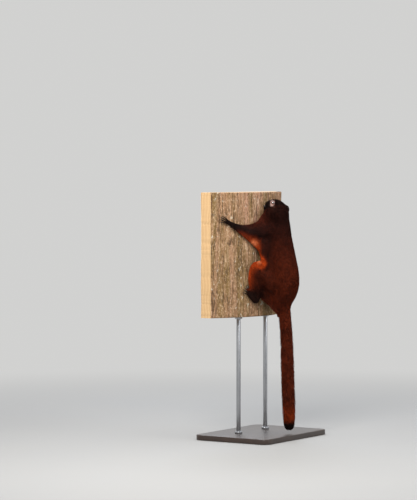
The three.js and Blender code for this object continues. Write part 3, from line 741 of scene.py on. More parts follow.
def merged_copy(node, grow):
    """A copy of a node's solid with its triangles joined, a little grown so that neighbours overlap."""
    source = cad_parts[node]
    mesh = source.data.copy()
    work = bmesh.new()
    work.from_mesh(mesh)
    bmesh.ops.remove_doubles(work, verts=work.verts, dist=1e-5)
    work.normal_update()
    for vertex in work.verts:
        vertex.co += vertex.normal * grow
    if kind_of(node) in DIGITS:
        cut_digits(work, kind_of(node), side_of(node))
    work.to_mesh(mesh)
    work.free()
    mesh.materials.clear()
    piece = bpy.data.objects.new("copy_" + node, mesh)
    bpy.context.collection.objects.link(piece)
    return piece


def skin_solids(settings):
    """Copies of all nodes of flesh, with the tail as its slim core."""
    copies = [(n, merged_copy(n, settings.overlap)) for n in FLESH if n != "tail"]
    z = np.linspace(40, 512, 24)
    centre, radius = tail_station(z)
    core = tapered_tube(centre, np.minimum(radius * settings.tail_core, TAIL_CORE_LIMIT), 16, 2)
    return [*copies, ("tail", core)]


def behind_nose(points):
    """How far points lie behind the nose tip, in millimetres."""
    return (points - np.array(NOSE_TIP) * MM) @ np.array(-FORWARD) / MM


def bridge_creases(skin, zones_at, nodes, settings):
    """Fuses the solids and fills the creases between them.

    The surface goes out by the bridge's width, is fused again and comes back.
    """
    apply_modifier(skin, "REMESH", mode="VOXEL", voxel_size=settings.voxel)
    mesh = skin.data
    edges = indices(mesh.edges, "vertices", 2)
    points = points_of(mesh)
    zone = zones_at(points)
    reach = np.array([BRIDGE.get(kind_of(n), 0) for n in nodes], float)[zone] * MM
    head = np.array([kind_of(n) == "head" for n in nodes])[zone]
    reach = np.where(head, reach * smooth_step(30, 50, behind_nose(points)), reach)
    small = np.array([kind_of(n) in SMALL_PARTS for n in nodes], float)[zone]
    reach = spread(reach, edges, 14) * (1 - np.clip(spread(small, edges, 8) * 2.2, 0, 1))
    normals = smooth_normals(mesh, edges)
    points = points + normals * reach[:, None]
    put_points(mesh, points)
    grown = BVHTree.FromPolygons(points.tolist(), [list(p.vertices) for p in mesh.polygons])
    corners = np.array([p.vertices[0] for p in mesh.polygons])
    apply_modifier(skin, "REMESH", mode="VOXEL", voxel_size=settings.voxel)
    mesh = skin.data
    edges = indices(mesh.edges, "vertices", 2)
    points = points_of(mesh)
    nearest = corners[[grown.find_nearest(Vector(p))[2] for p in points]]
    reach = spread(reach[nearest], edges, 3)
    normals = smooth_normals(mesh, edges)
    put_points(mesh, points - normals * reach[:, None])


def largest_part(piece):
    """The piece without its loose crumbs."""
    only(piece)
    bpy.ops.mesh.separate(type="LOOSE")
    parts = sorted(bpy.context.selected_objects, key=lambda part: -len(part.data.vertices))
    for crumb in parts[1:]:
        bpy.data.objects.remove(crumb)
    return only(parts[0])


def thickness_under(mesh, points, normals, limit=0.08):
    """How thick the form is straight in from each point, in metres, up to a limit."""
    within = BVHTree.FromPolygons([Vector(p) for p in points], [list(p.vertices) for p in mesh.polygons])
    thickness = np.empty(len(points))
    for i, (p, n) in enumerate(zip(points, normals)):
        p, n = Vector(p), Vector(n)
        hit = within.ray_cast(p - n * 0.0003, -n, limit)
        thickness[i] = hit[3] if hit[0] is not None else limit
    return thickness


def fuse_solids(settings):
    """One mesh over all the flesh and its digits.

    With it come the nodes' names and a function that gives the number of the node nearest to each place.
    """
    solids = skin_solids(settings)
    corners, faces, owners = [], [], []
    for number, (_, piece) in enumerate(solids):
        start = sum(len(c) for c in corners)
        corners.append([v.co.copy() for v in piece.data.vertices])
        faces += [[start + i for i in polygon.vertices] for polygon in piece.data.polygons]
        owners += [number] * len(piece.data.polygons)
    tree = BVHTree.FromPolygons(sum(corners, []), faces)
    zones_at = lambda places: np.array([owners[tree.find_nearest(Vector(p))[2]] for p in places])
    nodes = [node for node, _ in solids]
    skin = join([piece for _, piece in solids])
    bridge_creases(skin, zones_at, nodes, settings)
    skin = largest_part(skin)
    faces_now = 2 * len(skin.data.polygons)
    apply_modifier(skin, "TRIANGULATE")
    apply_modifier(skin, "DECIMATE", ratio=min(1, settings.triangles / faces_now))
    return join([skin, *slim_digits(settings.overlap)]), nodes, zones_at


def model_skin(settings, finish):
    """One skin over all the flesh, as far inside the solids as the coat is deep."""
    skin, nodes, zones_at = fuse_solids(settings)
    mesh = skin.data
    edges = indices(mesh.edges, "vertices", 2)
    points = points_of(mesh)
    zone = zones_at(points)
    kinds = np.array([kind_of(n) for n in nodes])[zone]
    fine = np.isin(kinds, SMALL_PARTS)
    behind = behind_nose(points)
    face = (kinds == "head") & (behind < 45)
    calm = spread(np.where(fine, 0.35, np.where(face, 0.4, 1.0)), edges, 4)
    points = relax(points, edges, calm, settings.smoothing)
    head, neck = (spread((kinds == kind).astype(float), edges, 24) for kind in ("head", "neck"))
    jaw = np.clip(5 * head * neck, 0, 1)
    for _ in range(60):
        points = points + 0.5 * jaw[:, None] * (neighbour_mean(points, edges) - points)
    put_points(mesh, points)

    normals = smooth_normals(mesh, edges)
    thickness = thickness_under(mesh, points, normals)
    depth = np.array([COAT[kind_of(n)][0] for n in nodes])[zone] * MM
    muzzle = 0.25 + 0.75 * smooth_step(8, 48, behind)
    depth = np.where(kinds == "head", depth * muzzle, depth)
    depth = np.minimum(spread(depth, edges, 36), 0.26 * thickness)
    depth = np.minimum(spread(depth, edges, 5), 0.34 * thickness)
    own_length = np.array([COAT[kind_of(n)][1] for n in nodes], float)[zone]
    length = spread(np.where(fine, own_length, spread(own_length, edges, 40)), edges, 4)
    own_lie = np.array([lie_of(n) for n in nodes])[zone]
    lie = spread(np.where(fine[:, None], own_lie, spread(own_lie, edges, 130)), edges, 10)
    lie = unit(lie - normals * (lie * normals).sum(1)[:, None])
    marks = marks_at(points, normals, kinds)
    length = length * (1 - 0.4 * spread(marks["orange"], edges, 6))
    eye = eye_distance(points) / MM
    folds = 0.7 * np.exp(-((eye - 11.5) / 1.5) ** 2) - 0.6 * np.exp(-((eye - 9) / 1.1) ** 2)
    depth = depth - folds * MM * (kinds == "head")
    carved = np.minimum(knee_folds_and_shade(points)[0] * MM, 0.25 * thickness)
    points = points - normals * (depth + carved + settings.overlap)[:, None]
    points = relax(points, edges, calm, 2)
    put_points(mesh, points)
    write_field(mesh, "depth", depth)
    write_field(mesh, "length", length)
    write_field(mesh, "lie", lie)
    write_field(mesh, "zone", zone.astype(float))
    for mark, rounds in MARK_BLUR.items():
        write_field(mesh, mark, spread(marks[mark], edges, rounds))
    skin["zones"] = nodes
    return finish_piece(skin, "skin", finish, FLESH, smooth=180)


class Pelt:
    """The skin's surface and what it says of the coat at each vertex."""

    def __init__(self, skin):
        mesh = skin.data
        mesh.calc_loop_triangles()
        self.points = points_of(mesh)
        self.normals = smooth_normals(mesh, indices(mesh.edges, "vertices", 2), 3)
        self.triangles = indices(mesh.loop_triangles, "vertices", 3)
        self.depth = read_field(mesh, "depth")
        self.length = read_field(mesh, "length")
        self.lie = read_field(mesh, "lie", 3)
        self.zone = np.rint(read_field(mesh, "zone")).astype(int)
        self.marks = {mark: read_field(mesh, mark) for mark in MARK_BLUR}
        self.nodes = list(skin["zones"])
        self.tree = BVHTree.FromPolygons(self.points.tolist(), self.triangles.tolist())
        self.triangle_zone = self.zone[self.triangles[:, 0]]

    def blend(self, values, rows, shares):
        """A field's value inside triangles."""
        return np.einsum("ij...,ij->i...", values[self.triangles[rows]], shares)

    def snap(self, places):
        """The nearest triangle of the skin, and the point on it, for each place."""
        found = [self.tree.find_nearest(Vector(p)) for p in places]
        return np.array([f[2] for f in found]), np.array([f[0] for f in found])


def tuft_faces(rings):
    """The triangles of one tuft: its closed root, its three-sided rings and its pointed tip."""
    faces = [(0, 2, 1)]
    for ring in range(rings - 1):
        low, high = 3 * ring, 3 * ring + 3
        for i in range(3):
            j = (i + 1) % 3
            faces += [(low + i, low + j, high + j), (low + i, high + j, high + i)]
    tip, last = 3 * rings, 3 * rings - 3
    faces += [(last + i, last + (i + 1) % 3, tip) for i in range(3)]
    return np.array(faces)


def build_tufts(name, spines, ups, widths, thick, fields, patches, finish):
    """One mesh of many tufts.

    spines holds each tuft's middle line, ups its outward side, widths its full width and thick its height.
    """
    count, stations = spines.shape[:2]
    rings = stations - 1
    along = unit(np.gradient(spines, axis=1))
    across = unit(np.cross(along, ups[:, None, :]))
    lift = np.cross(across, along)
    shares = np.array(TUFT_SHAPE[:rings])
    half = (widths[:, None] * shares / 2)[..., None]
    high = (thick[:, None] * shares)[..., None]
    body = spines[:, :rings]
    corners = np.stack([
        body - across[:, :rings] * half,
        body + lift[:, :rings] * high,
        body + across[:, :rings] * half,
    ], 2).reshape(count, rings * 3, 3)
    points = np.concatenate([corners, spines[:, -1:]], 1)
    per = rings * 3 + 1
    faces = tuft_faces(rings)
    sample = points[:64]
    a, b, c = (sample[:, faces[:, k]] for k in range(3))
    if (np.cross(b - a, c - a) * (a - sample.mean(1, keepdims=True))).sum() < 0:
        faces = faces[:, ::-1]
    triangles = (faces[None] + per * np.arange(count)[:, None, None]).reshape(-1, 3)
    mesh = bpy.data.meshes.new(name)
    mesh.vertices.add(count * per)
    mesh.vertices.foreach_set("co", points.astype(np.float32).ravel())
    mesh.loops.add(len(triangles) * 3)
    mesh.loops.foreach_set("vertex_index", triangles.astype(np.int32).ravel())
    mesh.polygons.add(len(triangles))
    mesh.polygons.foreach_set("loop_start", np.arange(0, len(triangles) * 3, 3, dtype=np.int32))
    mesh.polygons.foreach_set("use_smooth", np.ones(len(triangles), bool))
    mesh.update(calc_edges=True)
    for key, values in fields.items():
        write_field(mesh, key, np.repeat(values, per))
    share = np.concatenate([np.repeat(np.arange(rings) / rings, 3), [1]])
    write_field(mesh, "tip", np.tile(share, count))
    across_share = np.concatenate([np.tile([0, 0.5, 1], rings), [0.5]])
    strand = across_share * STRAND_REACH + np.arange(count)[:, None] * STRAND_STEP
    write_field(mesh, "strand", strand.ravel() % STRAND_WRAP)
    patch = np.stack([across_share, share], 1) * BAKE_PATCH
    uv = (patches[:, None, :] + patch[None]).reshape(-1, 2)
    layer = mesh.uv_layers.new(name="OFBake")
    layer.data.foreach_set("uv", uv[triangles.ravel()].astype(np.float32).ravel())
    piece = bpy.data.objects.new(name, mesh)
    bpy.context.collection.objects.link(piece)
    return finish_piece(piece, name, finish, smooth=0)


def morton(cells):
    """An order that keeps near cells together."""
    code = np.zeros(len(cells), np.int64)
    for bit in range(10):
        for axis in range(3):
            code |= ((cells[:, axis] >> bit) & 1) << (3 * bit + axis)
    return np.argsort(code, kind="stable")


def scatter(pelt, rows, spacing, random):
    """Evenly spread places on triangles: their rows and shares of the corners."""
    corners = pelt.points[pelt.triangles[rows]]
    area = np.linalg.norm(np.cross(corners[:, 1] - corners[:, 0], corners[:, 2] - corners[:, 0]), axis=1) / 2
    order = morton(((corners.mean(1) + 1) / CELL).astype(np.int64))
    weight = np.cumsum((area / spacing ** 2)[order])
    count = int(weight[-1])
    picks = np.searchsorted(weight, (np.arange(count) + random.random(count)) * (weight[-1] / count))
    chosen = rows[order[np.minimum(picks, len(rows) - 1)]]
    u, v = random.random((2, count))
    over = u + v > 1
    u, v = np.where(over, 1 - u, u), np.where(over, 1 - v, v)
    return chosen, np.stack([1 - u - v, u, v], 1)


def clump_roots(roots, share, random):
    """For each root, the row of the root in whose lock it lies. share is how many roots lead a lock."""
    centres = random.permutation(len(roots))[: max(1, int(len(roots) * share))]
    tree = KDTree(len(centres))
    for i, row in enumerate(centres):
        tree.insert(Vector(roots[row]), i)
    tree.balance()
    return centres[[tree.find(Vector(p))[1] for p in roots]]


def unwrap(points, normals, node):
    """The skin's own unwrap over a node, from 0 to 1 both ways.

    It runs round and along a limb, and lays a membrane's two faces side by side.
    """
    kind, side = kind_of(node), side_of(node)
    pose = pose_of(side)
    if kind.endswith("membrane"):
        turn = np.arctan2(-side * points[:, 0], (BARK_Y + TRUNK_RADIUS) * MM - points[:, 1])
        arc = turn * TRUNK_RADIUS * MM
        flat = np.stack([arc, points[:, 2]], 1)
        flat = (flat - flat.min(0)) / np.ptp(flat, axis=0)
        outer = normals[:, 1] < 0
        return np.stack([flat[:, 0] / 2 * 0.96 + 0.5 * outer, flat[:, 1]], 1)
    axes = {
        "head": (on_head(0, 0, 3), on_head(70, 0, 3)),
        "ear": (on_head(56, side * 23, 10.5), on_head(84, side * 46, -2)),
        "upper_arm": (on_bark(pose["shoulder"], side), on_bark(pose["elbow"], side)),
        "forearm": (on_bark(pose["elbow"], side), on_bark(pose["wrist"], side)),
        "hand": [over_bark(side, *limb_end("hand", side), ahead, 0, 6) for ahead in (0, 30)],
        "thigh": (on_bark(pose["hip"], side), on_bark(pose["knee"], side)),
        "shank": (on_bark(pose["knee"], side), on_bark(pose["ankle"], side)),
        "foot": [over_bark(side, *limb_end("foot", side), ahead, 0, 6) for ahead in (0, 60)],
    }
    a, b = axes.get(kind, (Vector((0, -0.082, 0.5)), Vector((0, -0.075, 0.86))))
    along = np.array((b - a).normalized())
    first = unit(np.array((b - a).normalized().orthogonal()))
    second = np.cross(along, first)
    away = points - np.array(a)
    turn = np.arctan2(away @ second, away @ first) / (2 * math.pi) + 0.5
    length = away @ along
    return np.stack([turn, (length - length.min()) / max(1e-6, np.ptp(length))], 1)


def lay_coat(pelt, name, owners, settings, finish, seed):
    """The tufts of one coat piece."""
    random = np.random.default_rng(seed)
    parts = []
    for cell, owner in enumerate(owners):
        zone = pelt.nodes.index(owner)
        rows = np.flatnonzero(pelt.triangle_zone == zone)
        low, high = BACK_SPLITS.get(name, (0, 1))
        height = pelt.points[pelt.triangles[rows, 0], 2]
        rows = rows[(height >= low) & (height < high)]
        _, _, width, spacing = COAT[kind_of(owner)]
        spacing = spacing * settings.spacing * SPACING_SCALE
        rows, shares = scatter(pelt, rows, spacing * MM, random)
        root = pelt.blend(pelt.points, rows, shares)
        normal = unit(pelt.blend(pelt.normals, rows, shares))
        lie = unit(pelt.blend(pelt.lie, rows, shares))
        depth = pelt.blend(pelt.depth, rows, shares)
        count = len(root)
        long = pelt.blend(pelt.length, rows, shares) * MM * random.uniform(0.75, 1.2, count) * settings.length
        wide = width * MM * random.uniform(0.75, 1.25, count) * WIDTH_SCALE
        if kind_of(owner) == "head":
            behind = behind_nose(root)
            near = 0.38 + 0.62 * smooth_step(8, 50, behind)
            long, wide = long * near, wide * (0.6 + 0.4 * near)
            bare = eye_distance(root)
            near = 0.4 + 0.6 * smooth_step(0.009, 0.019, bare)
            long, wide = long * near, wide * (0.5 + 0.5 * near)
            nose = np.linalg.norm(root - np.array(on_head(*NOSE_FRONT)), axis=1)
            keep = (bare > BARE_ROUND_EYE) & (nose > BARE_ROUND_NOSE)
            rows, shares, root, normal, lie, depth, long, wide = (
                v[keep] for v in (rows, shares, root, normal, lie, depth, long, wide))
            count = len(root)
        sway = np.array([noise.noise_vector(Vector(p) * 42) for p in root])
        stray = random.normal(0, 0.12, (count, 3))
        lie = lie + 0.35 * sway + stray
        lie = unit(lie - normal * (lie * normal).sum(1)[:, None])
        aim = root + lie * long[:, None]
        clump = clump_roots(root, settings.lock_share, random)
        gather = random.uniform(0.1, 0.55, count)[:, None]
        aim = aim + gather * (root[clump] + lie[clump] * long[:, None] - aim)
        tip_row, tip_place = pelt.snap(aim)
        even = np.full((count, 3), 1 / 3)
        tip_normal = unit(pelt.blend(pelt.normals, tip_row, even))
        tip_depth = pelt.blend(pelt.depth, tip_row, even)
        over_edge = (normal * tip_normal).sum(1) < 0.25
        free = root + lie * long[:, None] * 0.3 + normal * 0.0003
        tip_place = np.where(over_edge[:, None], free, tip_place)
        tip_normal = np.where(over_edge[:, None], normal, tip_normal)
        lift = random.uniform(0.75, 1.0, count) + 0.12 * (random.random(count)[clump] - 0.4)
        tip = tip_place + tip_normal * (tip_depth * lift + 0.0002)[:, None]
        middle_up = unit(normal + tip_normal)
        middle = (root + tip_place) / 2 + middle_up * (0.33 * (depth + tip_depth) * lift + 0.0004)[:, None]
        spine = np.stack([root - normal * 0.0005, middle, tip], 1)
        fields = {mark: 0.3 * pelt.blend(values, rows, shares) + 0.7 * pelt.blend(values, tip_row, even)
                  for mark, values in pelt.marks.items()}
        tone = random.normal(0.5, 0.2, count)
        fields["shade"] = np.clip(0.5 * tone + 0.5 * tone[clump] + random.normal(0, 0.06, count), 0, 1)
        patch = unwrap(root, normal, owner)
        patch[:, 1] = (patch[:, 1] * 0.96 + cell) / len(owners)
        parts.append((spine, middle_up, wide, wide * 0.42, fields, patch * 0.99))
    columns = [np.concatenate([p[k] for p in parts]) for k in (0, 1, 2, 3, 5)]
    fields = {key: np.concatenate([p[4][key] for p in parts]) for key in parts[0][4]}
    spine, up, wide, thick, patch = columns
    return build_tufts(name, spine, up, wide, thick, fields, patch, finish)


def hang_tail_coat(settings, core_share, finish):
    """Long tufts that lie along the tail to its black tip, with looser guard hairs among them."""
    random = np.random.default_rng(31)
    count = int(settings.tail_tufts * TAIL_SCALE)
    z = 44 + (505 - 44) * ((np.arange(count) + random.random(count)) / count) ** 0.97
    turn = random.random(count) * 2 * math.pi
    guard = random.random(count) < 0.2
    stations = np.array([0, 0.3, 0.65, 1.0])
    long = settings.tail_length / MM * random.uniform(0.75, 1.2, count) * np.where(guard, 1.15, 1)
    floor = TAIL[0][0] + 1.0
    long = np.minimum(long, (z - floor) * random.uniform(0.7, 1, count))
    heights = z[:, None] - long[:, None] * stations
    centre, radius = tail_station(heights)
    core = np.minimum(tail_station(z)[1] * core_share, TAIL_CORE_LIMIT) * 0.92
    guard_reach = random.uniform(0.97, 1.06, count)
    inner_reach = random.uniform(0.8, 0.97, count)
    outer = radius * np.where(guard, guard_reach, inner_reach)[:, None]
    share = np.sin(stations * math.pi / 2) ** 1.1
    reach = core[:, None] * (1 - share) + outer * share
    twist = turn[:, None] + random.normal(0, 0.16, count)[:, None] * stations
    out = np.stack([np.cos(twist), np.sin(twist), 0 * twist], -1)
    spine = centre + out * reach[..., None]
    wide = settings.tail_width * random.uniform(0.7, 1.2, count) * np.where(guard, 0.6, 1) * WIDTH_SCALE
    edge_z = spine[:, -1, 2] + random.normal(0, 0.003, count)
    drift = np.array([noise.noise(Vector((math.cos(t), math.sin(t), h / 26))) for t, h in zip(turn, z)])
    tone = np.clip(0.5 + 0.5 * drift + random.normal(0, 0.2, count), 0, 1)
    fields = {
        "orange": 0.06 + 0.4 * smooth_step(0.125, 0.085, edge_z) * smooth_step(0.048, 0.062, edge_z),
        "black": smooth_step(0.058, 0.046, edge_z),
        "grey": np.zeros(count),
        "red": np.clip(random.normal(0.78, 0.2, count), 0, 1.2),
        "pale": np.zeros(count),
        "hot": np.zeros(count),
        "shade": tone,
    }
    patch = np.stack([turn / (2 * math.pi), (z - 40) / 470], 1) * 0.99
    return build_tufts("coat_tail", spine, out[:, 1], wide, wide * 0.4, fields, patch, finish)


# Eyes, nose, claws and whiskers


def eye_look(side):
    """The way that an eye looks."""
    return (FORWARD * 0.1 + HEAD_LEFT * side + UP * 0.2).normalized()


def model_eye(word, side, finish):
    """A glossy eyeball with a raised cornea."""
    look = eye_look(side)
    centre = on_head(EYE_PLACE[0], side * EYE_PLACE[1], EYE_PLACE[2])
    eye = settle(primitive("uv_sphere", segments=48, ring_count=32, radius=EYE_RADIUS * MM, location=centre))
    points = points_of(eye.data)
    away = unit(points - np.array(centre))
    facing = away @ np.array(look)
    bulge = 0.00035 * smooth_step(0.72, 0.96, facing)
    put_points(eye.data, points + away * bulge[:, None])
    write_field(eye.data, "iris", np.degrees(np.arccos(np.clip(facing, -1, 1))))
    return finish_piece(eye, "eye_ball_" + word, finish, ["eye_" + word], smooth=180)


def eye_finish(colours):
    """A dark pupil in a mauve-brown iris under a wet, strongly mirroring coat."""
    finish = Finish("wet eye", Coat_Roughness=0.05, Roughness=0.2, Coat_Weight=1.0, Coat_IOR=2.2)
    angle = finish.field("iris")
    streaks = finish.noise(1500, detail=3)
    iris = finish.mix(streaks.band(0.3, 0.7), colours.eye, colours.eye_light)
    colour = finish.mix((angle + 5 * streaks).band(19, 29), (0.006, 0.004, 0.004, 1), iris)
    colour = finish.mix(angle.band(50, 60), colour, (0.012, 0.006, 0.005, 1))
    finish.set("Base Color", colour)
    return finish.material


# Across a lid from its edge on the eyeball outwards and back inside: [degrees past the edge, millimetres over
# the ball]
LID_PROFILE = ((-4, -0.1), (-1, 0.45), (3, 0.85), (8, 0.8), (13, 0.35), (18, 0.6), (25, 0.45), (36, 0.4),
               (50, 0.3), (62, 0.1), (72, -0.9), (44, -1.5), (8, -1.0))
# How far the lids open from the way the eye looks, and how much more at the front and back corner, in
# degrees.
LID_OPENING = 55
LID_CORNERS = (9, 5)


def model_lids(word, side, finish):
    """The lids round the eye: a wet edge, a rolled rim and a fold that sinks into the skin."""
    look = eye_look(side)
    centre = on_head(EYE_PLACE[0], side * EYE_PLACE[1], EYE_PLACE[2])
    level = (FORWARD - look * FORWARD.dot(look)).normalized()
    upper = look.cross(level) * (1 if look.cross(level).z > 0 else -1)
    steps, across = 72, len(LID_PROFILE)
    points, edge = [], []
    for i in range(steps):
        turn = 2 * math.pi * i / steps
        out = level * math.cos(turn) + upper * math.sin(turn)
        front, back = (max(0, way * math.cos(turn)) ** 5 for way in (1, -1))
        opening = LID_OPENING + LID_CORNERS[0] * front + LID_CORNERS[1] * back
        pucker = 0.12 * math.sin(23 * turn) + 0.08 * math.sin(9 * turn + 1)
        for past, over in LID_PROFILE:
            a = math.radians(opening + past)
            rise = over + pucker * (past > 5)
            points.append(centre + (look * math.cos(a) + out * math.sin(a)) * (EYE_RADIUS + rise) * MM)
            edge.append(past)
    lids = primitive("torus", major_segments=steps, minor_segments=across)
    put_points(lids.data, points)
    write_field(lids.data, "edge", np.array(edge, float))
    face_outwards(lids)
    apply_modifier(lids, "SUBSURF", levels=1, render_levels=1)
    return finish_piece(lids, "lids_" + word, finish, smooth=180)


def lid_finish(colours):
    """Bare lid skin, dark and wet at its edge on the eyeball, pale beyond that and dark again outside. The
    pale pink is partly the lids' own skin and partly a painted highlight.
    """
    finish = Finish("lid skin", Specular_IOR_Level=0.4, Subsurface_Weight=0.08, Subsurface_Scale=0.001)
    blotches = finish.noise(420, detail=4)
    wrinkles = finish.noise(1500, detail=2)
    edge = finish.field("edge")
    colour = finish.mix(blotches.band(0.4, 0.75) * 0.5, colours.lids, colours.lid_shade)
    colour = finish.mix((edge + 2 * blotches).band(1, 5), colours.lid_shade, colour)
    colour = finish.mix((edge + 6 * blotches).band(22, 30), colour, colours.points)
    finish.set("Base Color", colour)
    finish.set("Roughness", edge.band(-1, 6) * 0.35 + 0.3)
    finish.bump(wrinkles + 0.5 * blotches, 0.5, 0.0002)
    return finish.material


def skin_finish(name, colour, dark, wet=0.45):
    """Bare skin with fine wrinkles."""
    finish = Finish(name, Specular_IOR_Level=0.5, Subsurface_Weight=0.08, Subsurface_Scale=0.001)
    blotches = finish.noise(260, detail=4)
    creases = finish.node("ShaderNodeTexVoronoi", {"feature": "DISTANCE_TO_EDGE"},
                          {"Vector": finish.place(), "Scale": 1500})
    finish.set("Base Color", finish.mix(blotches.band(0.35, 0.7), colour, dark))
    finish.set("Roughness", wet + 0.25 * blotches)
    finish.bump(creases.band(0, 0.2), 0.6, 0.00012)
    return finish.material


def model_nose(finish):
    """The nose pad with its two nostrils and the groove between."""
    centre = on_head(*NOSE_PLACE)
    nose = primitive("uv_sphere", segments=48, ring_count=32, radius=MM, location=(0, 0, 0))
    points = points_of(nose.data) / MM
    x, y, z = points.T
    frontal = np.clip(-x, 0, 1)
    width = 6.1 * (1 - 0.16 * np.clip(-z, 0, 1) ** 2)
    shaped = np.stack([x * 5.6, y * width, z * 4.7], 1)
    for side in (1, -1):
        hole = np.stack([x * 5.6 + 4.9, shaped[:, 1] - side * 3.0, shaped[:, 2] + 0.4], 1) / (1.7, 1.25, 1.2)
        press = np.exp(-(hole ** 2).sum(1) * 1.1)
        shaped += np.stack([2.1 * press, 0.6 * side * press, 0 * press], 1) * (frontal > 0.15)[:, None]
    groove = np.exp(-(y / 0.09) ** 2) * frontal
    shaped[:, 0] += 0.75 * groove
    axes = np.array([-FORWARD, HEAD_LEFT, UP])
    put_points(nose.data, np.array(centre) + shaped @ axes * MM)
    face_outwards(nose)
    return finish_piece(nose, "nose_pad", finish, smooth=180)


def muzzle_side(behind, above):
    """Half the head's width at a place, in millimetres."""
    stations = np.array(HEAD, float)
    top, bottom, side = (np.interp(behind, stations[:, 0], stations[:, k]) for k in (1, 2, 3))
    level = min(0.98, abs((2 * above - top - bottom) / (top - bottom)))
    return side * math.sqrt(1 - level ** 2)


# The edge of the mouth from its corner forwards: [behind the nose tip, above the muzzle's middle]
MOUTH = ((25, -8.6), (16, -10), (9, -9.4), (4, -7.8))


def model_lips(finish):
    """The dark edges of the mouth."""
    half = lambda side: [on_head(b, side * (muzzle_side(b, a) - 0.75), a) for b, a in MOUTH]
    path = [*half(1), on_head(1.6, 0, -6.4), *half(-1)[::-1]]
    radii = [r * MM for r in (0.5, 0.9, 1.1, 1.1, 1.0, 1.1, 1.1, 0.9, 0.5)]
    lips = tapered_tube(path, radii, 8, 6)
    return finish_piece(lips, "lips", finish, smooth=180)


def grow_whiskers(finish):
    """Stiff whiskers on both sides of the muzzle and over the eyes."""
    random = np.random.default_rng(5)
    hairs = []
    for side in (1, -1):
        roots = [(9 + 3.2 * (i % 4), 1.5 - 2.6 * (i // 4)) for i in range(12)] + [(24, 22), (27, 24)]
        for behind, above in roots:
            start = on_head(behind, side * (muzzle_side(behind, above) - 0.6), above)
            reach = random.uniform(26, 44) * (0.6 if above > 20 else 1)
            out = (HEAD_LEFT * side * random.uniform(0.75, 1.0) - FORWARD * random.uniform(0.15, 0.7)
                   + UP * random.uniform(-0.35, 0.25)).normalized()
            bend = (UP * -0.16 - FORWARD * 0.3) * reach * MM
            path = [start + out * reach * MM * t + bend * t * t for t in (0, 0.35, 0.7, 1)]
            hairs.append(tapered_tube(path, [r * MM for r in (0.22, 0.18, 0.12, 0.04)], 4, 3))
    whiskers = join(hairs)
    return finish_piece(whiskers, "whiskers", finish, smooth=180)


def model_claws(kind, word, side, finish):
    """Hooked claws, one at each digit's end."""
    claws = []
    for length, reach in digit_steps(kind, side):
        tip = CLAW_LENGTH / length
        arch = ((1 + tip * 0.3, 8.0), (1 + tip * 0.8, 6.8), (1 + tip * 1.08, 0.6))
        path = [reach(share, off) for share, off in ((0.86, 6.0), *arch)]
        claws.append(tapered_tube(path, [r * MM for r in (1.7, 1.8, 1.35, 0.25)], 10, 5))
    piece = join(claws)
    return finish_piece(piece, f"claws_{kind}_{word}", finish, smooth=180)


def claw_finish():
    """Dark horn with a fine grain along it."""
    finish = Finish("dark horn", Specular_IOR_Level=0.3)
    grain = finish.noise(1400, (1, 1, 0.3), detail=3)
    finish.set("Base Color", finish.mix(grain.band(0.3, 0.7), linear((20, 14, 12)), linear((52, 40, 32))))
    finish.set("Roughness", 0.42 + 0.2 * grain)
    finish.bump(grain, 0.25, 0.0002)
    return finish.material


# Perch and stand


# How far round the trunk the slab reaches to each side, in radians.
SLAB_HALF_TURN = 0.69
# The collars of the rods: height, and how far they stand out, in metres.
COLLAR_HEIGHT = 0.008
COLLAR_RIM = 0.006


def bark_relief(arc, z):
    """How far the bark stands from the trunk's round form, in millimetres, as the solid has it."""
    ridges = 1.5 * np.sin(arc / 13 + 1.1 * np.sin(z / 95))
    return ridges + 1.3 * np.sin(arc / 44 + z / 170) + 0.9 * np.sin(z / 41 + arc / 55)


def fissures(arc, z):
    """Cracks, flakes and pits cut into the bark, in millimetres, never above its surface."""
    out = np.empty(len(arc))
    for i, (a, h) in enumerate(zip(arc, z)):
        wander = 6 * noise.noise(Vector((a / 50, h / 90, 3)))
        crack = abs(noise.noise(Vector(((a + wander) / 9, h / 105, 0))))
        fine = abs(noise.noise(Vector(((a + wander) / 4.2, h / 46, 7))))
        split = abs(noise.noise(Vector((a / 16, h / 13, 9))))
        pit = noise.noise(Vector((a / 5, h / 6.5, 5)))
        out[i] = (-1.9 * max(0, 1 - crack * 6) ** 1.3 - 0.9 * max(0, 1 - fine * 5)
                  - 0.5 * max(0, 1 - split * 9) - 4.5 * max(0, pit - 0.42))
    return out


